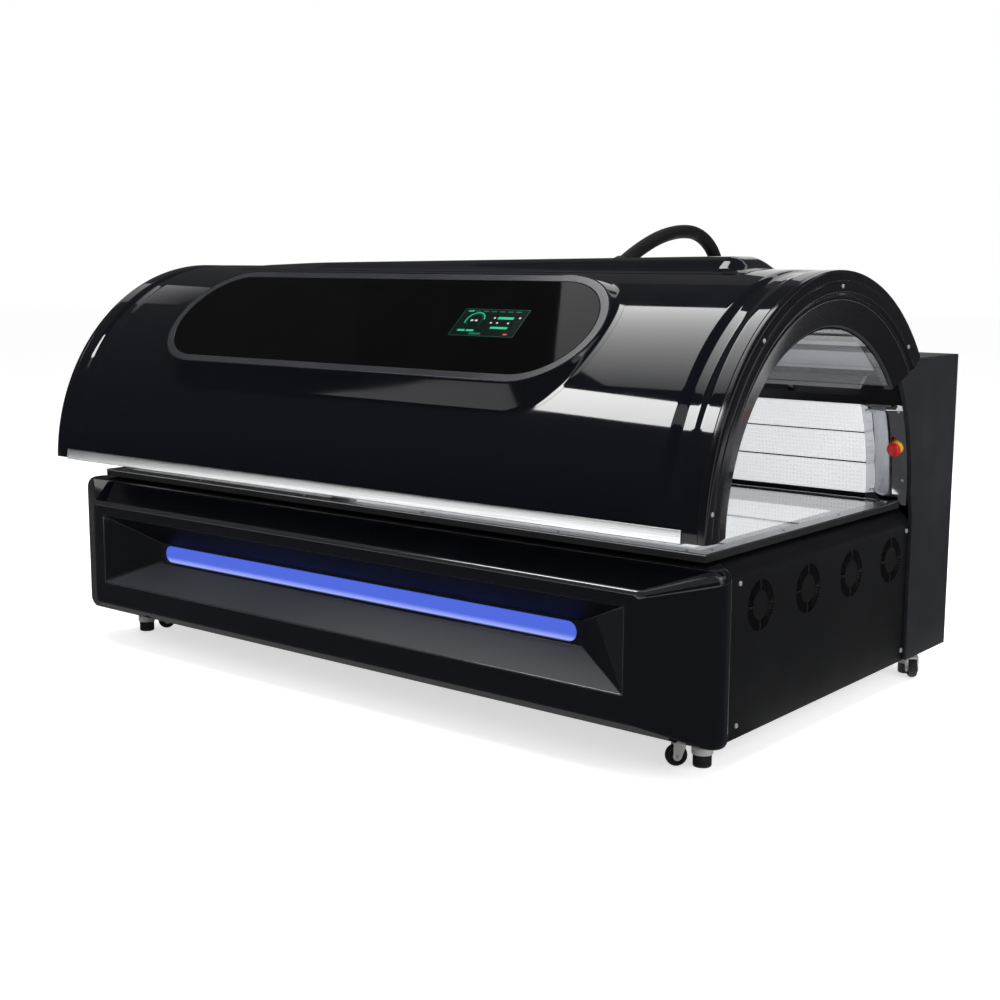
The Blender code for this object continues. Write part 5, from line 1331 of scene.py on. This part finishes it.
def panel_section():
    """Section of the right end panel, with its rolled top edge, as (x, z) pairs."""
    turns = [math.radians(a) for a in steps_between(0.0, 90.0, 12)]

    def bend(radius):
        return [(PANEL_X - PANEL_BEND + radius * math.cos(t), PANEL_TOP - PANEL_BEND + radius * math.sin(t))
                for t in turns]

    section = [(PANEL_X, PANEL_BOTTOM)] + bend(PANEL_BEND)
    section += [(PANEL_LIP_X, PANEL_TOP), (PANEL_LIP_X, PANEL_TOP - PANEL_SHEET)]
    section += reversed(bend(PANEL_BEND - PANEL_SHEET))
    section.append((PANEL_X - PANEL_SHEET, PANEL_BOTTOM))
    return section


def make_end_panels():
    """Sheet panels with a rolled top edge, radial grille slots and their screws."""
    section = panel_section()
    for name, side in SIDES.items():
        rows = [[Vector((side * x, y, z)) for x, z in section] for y in (PANEL_FRONT_Y, PANEL_REAR_Y)]
        panel = piece("slotted_panel_" + name, lofted(rows), ["satin_black"], "base", ["end_panel_" + name])
        cut_slots(panel, at(side * (PANEL_X - PANEL_SHEET / 2), 0, 0))
        keep_flats(panel)
        face = side * (PANEL_X - 0.0003)
        outward = tilt("Y", 90.0 * side)
        places = [at(face, y, z) @ outward for y in PANEL_SCREW_Y for z in PANEL_SCREW_Z]
        steel_screws("panel_screws_" + name, places, PANEL_SCREW)
        places = []
        for y in FAN_PLACES:
            for i in range(0, SLOT_COUNT, FAN_SCREW_STEP):
                turn = math.radians(360.0 * i / SLOT_COUNT)
                spot = (y + FAN_SCREW_REACH * math.sin(turn), FAN_Z + FAN_SCREW_REACH * math.cos(turn))
                places.append(at(face, *spot) @ outward)
        piece("grille_screws_" + name, screw_heads(places, GRILLE_SCREW), ["matte_black"], "base")


def rim_length(section, start, end):
    """A rim strip between two of the bed's corners; its section counts inward from the outer face."""
    return lofted([[Vector((*corner(inward), z)) for inward, z in section] for corner in (start, end)])


def make_rims():
    """Mitred metal strip around the bed on a black edge, in three lengths."""
    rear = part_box("bed_rim_right")[1][1]
    cap_low = RIM_TOP - RIM_CAP
    cap = eased([(0.0, cap_low, 0.0), (0.0, RIM_TOP, 0.0016), (RIM_WIDTH, RIM_TOP, 0.0008),
                 (RIM_WIDTH, cap_low, 0.0)])
    outside, inside, top = RIM_INSET, RIM_WIDTH - RIM_INSET, cap_low - 0.0003
    edge = [(outside, RIM_BOTTOM), (outside, top), (inside, top), (inside, RIM_LEDGE),
            (2 * RIM_WIDTH, RIM_LEDGE), (2 * RIM_WIDTH, RIM_BOTTOM)]
    corners = [
        lambda inward: (inward - RIM_OUTER_X, rear),
        lambda inward: (inward - RIM_OUTER_X, RIM_FRONT_Y + inward),
        lambda inward: (RIM_OUTER_X - inward, RIM_FRONT_Y + inward),
        lambda inward: (RIM_OUTER_X - inward, rear),
    ]
    for name, first, last in zip(("left", "front", "right"), corners, corners[1:]):
        metal = rim_length(cap, first, last)
        piece("rim_strip_" + name, metal, ["rim_steel"], "base", ["bed_rim_" + name],
              flats=True)
        black = rim_length(edge, first, last)
        piece("rim_edge_" + name, black, ["matte_black"], "base", flats=True)


def make_bed_boards():
    """LED strips under the clear bed sheet."""
    pitch = (BED_BOARD_REAR - BED_BOARD_FRONT) / BED_BOARD_ROWS
    place = at(0, 0, BED_BOARD_TOP)
    boards = []
    for i in range(BED_BOARD_ROWS):
        low = BED_BOARD_FRONT + i * pitch
        high = low + pitch - BOARD_JOINT / 2
        boards.append(slab(place, BED_BOARD_HALF, low + BOARD_JOINT / 2, high, BED_BOARD_SHEET))
    bed = piece("bed_boards", joined(boards), ["led_white"], "base", ["bed_led_board"])
    flat_uv(bed, place)


def make_wall_boards():
    """Three rows of LED boards on the back wall, with dark joints between."""
    edges = steps_between(WALL_BOARD_LOW, WALL_BOARD_HIGH, WALL_BOARD_ROWS)
    for i, (first, last) in enumerate(zip(edges, edges[1:])):
        middle, half_angle = (first + last) / 2, math.radians((last - first) / 2)
        chord = WALL_BOARD_RADIUS * math.cos(half_angle) - BOARD_SHEET
        reach = WALL_BOARD_RADIUS * math.sin(half_angle) - BOARD_JOINT / 2
        place = on_back_wall(0, chord, middle)
        board = slab(place, WALL_BOARD_HALF, -reach, reach, BOARD_SHEET)
        nodes = ["back_led_board"] if i == 0 else []
        row = piece("wall_boards_%d" % (i + 1), board, ["led_white"], "base", nodes)
        flat_uv(row, place)


def make_stop():
    """Emergency stop: yellow collar and red mushroom head."""
    place = on_back_wall(STOP_X, TRIM_FACE_RADIUS - STOP_SEAT, STOP_ELEVATION)
    length, radius, bore = STOP_COLLAR_LENGTH, STOP_COLLAR_RADIUS, STOP_STEM_RADIUS + STOP_FIT
    collar = [(bore, 0.0, 0.0), (radius, 0.0, 0.0008), (radius, length * 0.55, 0.0015),
              (radius * 0.86, length, 0.0012), (bore, length, 0.0006), (bore, length * 0.5, 0.0)]
    piece("stop_collar", turned(collar, place), ["stop_yellow"], "base", ["estop_collar"])
    wide, base = STOP_HEAD_RADIUS, length + STOP_TRAVEL
    top = base + STOP_HEAD_LENGTH
    head = [(STOP_STEM_RADIUS, STOP_TRAVEL, 0.0), (STOP_STEM_RADIUS, base, 0.0006),
            (wide * 0.90, base, 0.0014), (wide, base + 0.0030, 0.003), (wide * 0.96, top - 0.0035, 0.004),
            (wide * 0.62, top - 0.0002, 0.004), (0.002, top, 0.0)]
    piece("stop_mushroom", turned(head, place), ["stop_red"], "stop_head", ["estop_head"])


def hose_route():
    """Smooth run of points through the hose's places, from the crown to the cabinet."""
    stops = [Vector((HOSE_X, y, z)) for y, z in HOSE_POINTS]
    padded = [2 * stops[0] - stops[1]] + stops + [2 * stops[-1] - stops[-2]]
    route = []
    for a, b, c, d in zip(padded, padded[1:], padded[2:], padded[3:]):
        for i in range(HOSE_SAMPLES):
            t = i / HOSE_SAMPLES
            bend = (2 * a - 5 * b + 4 * c - d) * t * t + (3 * b - a - 3 * c + d) * t ** 3
            route.append((2 * b + (c - a) * t + bend) / 2)
    route.append(stops[-1])
    return route


def sleeve_uv(hose, along):
    """Gives the hose flat coordinates: the share of a turn round it, and the metres along it."""
    layer = hose.data.uv_layers.new(name="flat")
    for face in hose.data.polygons:
        sides = [v % HOSE_SIDES for v in face.vertices]
        wraps = max(sides) - min(sides) > HOSE_SIDES / 2
        for index in face.loop_indices:
            vertex = hose.data.loops[index].vertex_index
            turn = vertex % HOSE_SIDES
            turn += HOSE_SIDES if wraps and turn < HOSE_SIDES / 2 else 0
            layer.data[index].uv = (turn / HOSE_SIDES, along[vertex // HOSE_SIDES])


def make_hose():
    """Flexible hose from the crown's gland back into the cabinet's top, with a gland at each end."""
    route = hose_route()
    across = Vector((1.0, 0.0, 0.0))
    turns = full_turn(HOSE_SIDES)
    rows, along = [], [0.0]
    for i, spot in enumerate(route):
        ahead = (route[min(i + 1, len(route) - 1)] - route[max(i - 1, 0)]).normalized()
        up = ahead.cross(across)
        rows.append([spot + (across * math.cos(t) + up * math.sin(t)) * HOSE_RADIUS for t in turns])
        if i:
            along.append(along[-1] + (spot - route[i - 1]).length)
    hose = piece("sleeved_hose", lofted(rows), ["hose_black"], None)
    sleeve_uv(hose, along)
    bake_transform(hose)
    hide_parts("flexible_hose")
    bore = HOSE_RADIUS + 0.0002
    crown = at(*GLAND_PLACE) @ tilt("X", GLAND_TILT - 90.0)
    sleeve = [(GLAND_RADIUS, -0.012, 0.0), (GLAND_RADIUS, GLAND_LENGTH * 0.55, 0.002),
              (GLAND_RADIUS * 0.95, GLAND_LENGTH, 0.0015), (bore, GLAND_LENGTH, 0.0008),
              (bore, GLAND_LENGTH - 0.004, 0.0)]
    gland = piece("crown_gland", turned(sleeve, crown), ["matte_black"], "canopy")
    foot = at(*SOCKET_PLACE)
    socket = [(SOCKET_FLANGE_RADIUS, 0.0, 0.0), (SOCKET_FLANGE_RADIUS, SOCKET_FLANGE, 0.0012),
              (GLAND_RADIUS * 1.1, SOCKET_FLANGE + 0.0005, 0.003), (GLAND_RADIUS, 0.012, 0.004),
              (GLAND_RADIUS, SOCKET_HEIGHT, 0.002), (bore, SOCKET_HEIGHT, 0.0008),
              (bore, SOCKET_HEIGHT - 0.004, 0.0)]
    socket = piece("cabinet_gland", turned(socket, foot), ["matte_black"], "base", ["hose_socket"])
    bolt = at(SOCKET_BOLT_REACH, 0, SOCKET_FLANGE - SCREW_SINK)
    bolts = [foot @ tilt("Z", 60.0 * i) @ bolt for i in range(6)]
    steel_screws("gland_bolts", bolts, GLAND_BOLT)


def tyre_corners():
    """Profile of a wheel's tread and dished sides, mirrored about its middle."""
    near = [(WHEEL_BORE, -WHEEL_HALF * 0.8, 0.0)]
    near += [(WHEEL_RADIUS * reach, -WHEEL_HALF * out, setback) for reach, out, setback in TYRE_SIDE]
    return near + [(reach, -out, setback) for reach, out, setback in reversed(near)]


def make_casters():
    """Levelling casters: rubber wheel on a hub, screw foot with its grey hand wheel, and axle bolts."""
    pad_top, wheel_low = FOOT_PAD_TOP - 0.0005, FOOT_PAD_TOP - 0.0004
    pad = [(0.004, 0.0, 0.0), (FOOT_PAD_RADIUS * 0.94, 0.0, 0.0015), (FOOT_PAD_RADIUS, 0.004, 0.0015),
           (FOOT_PAD_RADIUS, pad_top, 0.0008), (STEM_RADIUS, pad_top, 0.0)]
    wheel = [(STEM_RADIUS, wheel_low, 0.0), (FOOT_RADIUS * 0.97, wheel_low, 0.001),
             (FOOT_RADIUS, FOOT_PAD_TOP + 0.003, 0.001), (FOOT_RADIUS, FOOT_RING_TOP - 0.002, 0.001),
             (FOOT_RADIUS * 0.94, FOOT_RING_TOP, 0.001),
             (STEM_RADIUS * 1.7, FOOT_RING_TOP, 0.001), (STEM_RADIUS, FOOT_RING_TOP + 0.003, 0.001),
             (STEM_RADIUS, STEM_TOP, 0.0)]
    for name, (x, y, heading) in CASTERS.items():
        axle = at(x, y, 0) @ tilt("Z", heading) @ at(CASTER_TRAIL, 0, WHEEL_Z)
        tyre = turned(tyre_corners(), axle @ tilt("X", 90.0), 3, 48)
        piece("tyre_" + name, tyre, ["rubber_black"], "wheel_" + name, ["caster_wheel_" + name])
        foot = at(x, y, 0)
        piece("foot_pad_" + name, turned(pad, foot), ["rubber_black"], "level_foot_" + name)
        piece("foot_wheel_" + name, turned(wheel, foot, 3), ["caster_grey"], "level_foot_" + name,
              ["caster_foot_" + name])
        reach = CASTER_FORK_HALF - SCREW_SINK
        bolts = [axle @ at(0, side * reach, 0) @ tilt("X", -90.0 * side) for side in (1, -1)]
        steel_screws("axle_bolts_" + name, bolts, AXLE_BOLT, "swivel_" + name)


def make_small_screws():
    """Screws of the rims, trims and cabinet, and the contacts of the mains inlet."""
    middle, top = RIM_WIDTH / 2, RIM_TOP - SCREW_SINK
    rims = [at(x, RIM_FRONT_Y + middle, top) for x in RIM_SCREW_X]
    trims, cabinet = [], []
    backward = tilt("X", -90.0)
    for side in SIDES.values():
        rims += [at(side * (RIM_OUTER_X - middle), y, top) for y in RIM_SCREW_Y]
        trims += [on_back_wall(side * x, TRIM_FACE_RADIUS - SCREW_SINK, a) for x, a in TRIM_SCREWS]
        cabinet += [at(side * CABINET_SCREW_X, CABINET_BACK_Y, z) @ backward for z in CABINET_SCREW_Z]
    cabinet += [at(x, CABINET_BACK_Y, CABINET_FOOT_Z) @ backward for x in CABINET_FOOT_X]
    steel_screws("rim_screws", rims, RIM_SCREW)
    steel_screws("trim_screws", trims, TRIM_SCREW)
    steel_screws("cabinet_screws", cabinet, CABINET_SCREW)
    outline = rectangle(0.0020, -0.0008, 0.0008, 0.0006, 3)
    pins = []
    for x, z in INLET_PINS:
        pins.append(lofted([[Vector((x + a, y, z + b)) for a, b in outline] for y in INLET_PIN_ENDS]))
    piece("inlet_contacts", joined(pins), ["contact_brass"], "base")


# Studio

# Soft lamps: place, aim, width and height, power
LAMPS = {
    "overhead": ((0.0, -0.6, 4.2), (0.0, -0.1, 0.6), (4.5, 3.0), 130.0),
    "front left": ((-3.2, -3.4, 2.6), (0.0, -0.3, 0.6), (2.4, 2.0), 70.0),
    "right end": ((4.2, -0.8, 2.2), (0.9, 0.0, 0.6), (2.0, 2.0), 60.0),
    "behind": ((0.0, 4.0, 2.4), (0.0, 0.3, 0.6), (4.0, 2.0), 60.0),
}
# Dark drapes and bright cards: two end points, aim, width, and the glow at each long edge
CARDS = {
    "left drape": ((-5.5, -14.0, 5.0), (-5.5, 10.0, 5.0), (0.0, -2.0, 5.0), 10.0, 0.12, 0.03),
    "ceiling drape": ((-6.0, 0.5, 6.5), (6.0, 0.5, 6.5), (0.0, 0.5, 0.0), 11.0, 0.05, 0.05),
    "front mat": ((-6.0, -1.5, 0.004), (6.0, -1.5, 0.004), (0.0, -1.5, 2.0), 2.6, 0.09, 0.09),
    "right mat": ((1.06, 1.7, 0.006), (5.5, 1.7, 0.006), (2.0, 1.7, 2.0), 4.6, 0.10, 0.10),
    "right drape": ((9.0, -4.0, 2.5), (9.0, 5.0, 2.5), (0.0, 0.5, 2.5), 5.0, 0.10, 0.10),
    "rear drape": ((-1.0, 5.0, 2.5), (9.0, 5.0, 2.5), (1.0, 0.0, 2.5), 5.0, 0.08, 0.08),
    "floor card": ((-7.0, -3.9, 0.005), (2.0, -3.9, 0.005), (-2.0, -3.9, 2.0), 1.8, 1.9, 1.9),
    "key strip": ((-1.97, -1.97, 2.97), (-0.59, -2.52, 2.97), (0.65, -0.57, 0.75), 0.66, 15.0, 17.0),
    "overhead panel": ((-1.75, -0.575, 4.0), (-0.5, -0.575, 4.0), (-1.1, -0.575, 0.0), 3.25, 1.0, 6.0),
    "left window": ((-4.9, 0.35, 3.62), (-4.9, 1.55, 3.62), (-0.95, -0.4, 0.95), 0.9, 0.15, 1.3),
    "left mat": ((-5.5, 1.2, 0.006), (-1.15, 1.2, 0.006), (-2.0, 1.2, 2.0), 4.4, 0.05, 0.05),
    "front drape": ((-4.5, -9.0, 4.3), (9.0, -9.0, 4.3), (0.0, 0.0, 4.3), 8.6, 0.06, 0.06),
    "ring strip": ((3.2, -2.4, 2.6), (3.9, -1.4, 3.1), (1.05, -0.6, 0.75), 0.30, 3.0, 3.0),
}


def make_camera():
    azimuth, drop, roll = (math.radians(a) for a in (CAMERA_AZIMUTH, CAMERA_DROP, CAMERA_ROLL))
    level = math.cos(drop)
    ahead = Vector((-math.sin(azimuth) * level, math.cos(azimuth) * level, -math.sin(drop)))
    right = Vector((math.cos(azimuth), math.sin(azimuth), 0.0))
    down = ahead.cross(right)
    across = right * math.cos(roll) + down * math.sin(roll)
    below = down * math.cos(roll) - right * math.sin(roll)
    lens = bpy.data.cameras.new("camera")
    lens.lens = LENS
    lens.sensor_width = SENSOR
    lens.sensor_fit = "HORIZONTAL"
    lens.shift_y = CAMERA_SHIFT_Y
    lens.clip_end = 200.0
    camera = bpy.data.objects.new("camera", lens)
    axes = Matrix((across, -below, -ahead)).transposed().to_4x4()
    camera.matrix_world = at(*CAMERA_PLACE) @ axes
    bpy.context.scene.collection.objects.link(camera)
    bpy.context.scene.camera = camera


def soft_light(name, place, aim, size, power):
    """A wide lamp that lights the object and isn't seen itself."""
    lamp = bpy.data.lights.new(name, "AREA")
    lamp.shape = "RECTANGLE"
    lamp.size, lamp.size_y = size
    lamp.energy = power
    light = bpy.data.objects.new(name, lamp)
    facing = (Vector(aim) - Vector(place)).to_track_quat("-Z", "Y")
    light.matrix_world = at(*place) @ facing.to_matrix().to_4x4()
    light.visible_camera = False
    light.visible_glossy = False
    bpy.context.scene.collection.objects.link(light)


def seen_level(tree, low, high):
    """The high level for rays from the camera, mirrors and clear sheets, and the low one for the rest."""
    path = add_node(tree, "ShaderNodeLightPath").outputs
    first = math_node(tree, "MAXIMUM", path["Is Camera Ray"], path["Is Glossy Ray"])
    seen = math_node(tree, "MAXIMUM", first, path["Is Transmission Ray"])
    return spread(tree, seen, 0.0, 1.0, low, high)


def make_world():
    world = bpy.data.worlds.new("studio")
    bpy.context.scene.world = world
    world.use_nodes = True
    tree = world.node_tree
    background = tree.nodes["Background"]
    background.inputs["Color"].default_value = (1.0, 1.0, 1.0, 1.0)
    tree.links.new(seen_level(tree, WORLD_LIGHT, 1.0), background.inputs["Strength"])


def stage_mesh(name, bm):
    """A mesh of the studio, in the scene but no piece of the object."""
    mesh = bpy.data.meshes.new(name)
    bm.to_mesh(mesh)
    bm.free()
    made = bpy.data.objects.new(name, mesh)
    bpy.context.scene.collection.objects.link(made)
    return made


def make_floor():
    bm = bmesh.new()
    bmesh.ops.create_circle(bm, cap_ends=True, segments=96, radius=FLOOR_RADIUS)
    floor = stage_mesh("floor", bm)
    tree, shader = new_material("floor_white", (0.80, 0.80, 0.80), 0.9, specular=0.0)
    shader.inputs["Emission Color"].default_value = (1.0, 1.0, 1.0, 1.0)
    tree.links.new(seen_level(tree, 0.0, FLOOR_GLOW), shader.inputs["Emission Strength"])
    floor.data.materials.append(MATERIALS["floor_white"])


def reflector(name, first, last, aim, width, low, high):
    """A studio card between two end points that only gloss sees, with a glow from low to high across it."""
    start, end = Vector(first), Vector(last)
    middle = (start + end) / 2
    along = (end - start).normalized()
    facing = Vector(aim) - middle
    facing = (facing - along * facing.dot(along)).normalized()
    up = along.cross(facing)
    bm = bmesh.new()
    bmesh.ops.create_grid(bm, x_segments=1, y_segments=1, size=0.5)
    bmesh.ops.scale(bm, vec=((end - start).length, width, 1.0), verts=bm.verts)
    card = stage_mesh(name, bm)
    card.matrix_world = at(*middle) @ Matrix((along, up, -facing)).transposed().to_4x4()
    material = bpy.data.materials.new(name)
    material.use_nodes = True
    tree = material.node_tree
    tree.nodes.remove(tree.nodes["Principled BSDF"])
    across = split_axes(tree, object_place(tree))["Y"]
    level = spread(tree, across, -width / 2, width / 2, low, high)
    glow = add_node(tree, "ShaderNodeEmission", {"Strength": level})
    tree.links.new(glow.outputs["Emission"], tree.nodes["Material Output"].inputs["Surface"])
    card.data.materials.append(material)
    card.visible_camera = False
    card.visible_diffuse = False
    card.visible_shadow = False
    card.visible_transmission = False


def make_studio():
    """Soft lamps, with dark drapes and bright cards around the bed for the gloss to show."""
    make_world()
    make_floor()
    for name, values in LAMPS.items():
        soft_light(name, *values)
    for name, values in CARDS.items():
        reflector(name, *values)


def main():
    bpy.context.scene.view_settings.view_transform = "Standard"
    make_camera()
    make_materials()
    make_hose()
    finish_nodes()
    make_shell()
    make_end_rings()
    make_ring_ends()
    make_grip_strip()
    make_housing()
    make_display()
    make_clear_arch()
    make_canopy_boards()
    make_fascia()
    make_light_bar()
    make_end_panels()
    make_rims()
    make_bed_boards()
    make_wall_boards()
    make_stop()
    make_casters()
    make_small_screws()
    make_studio()


main()
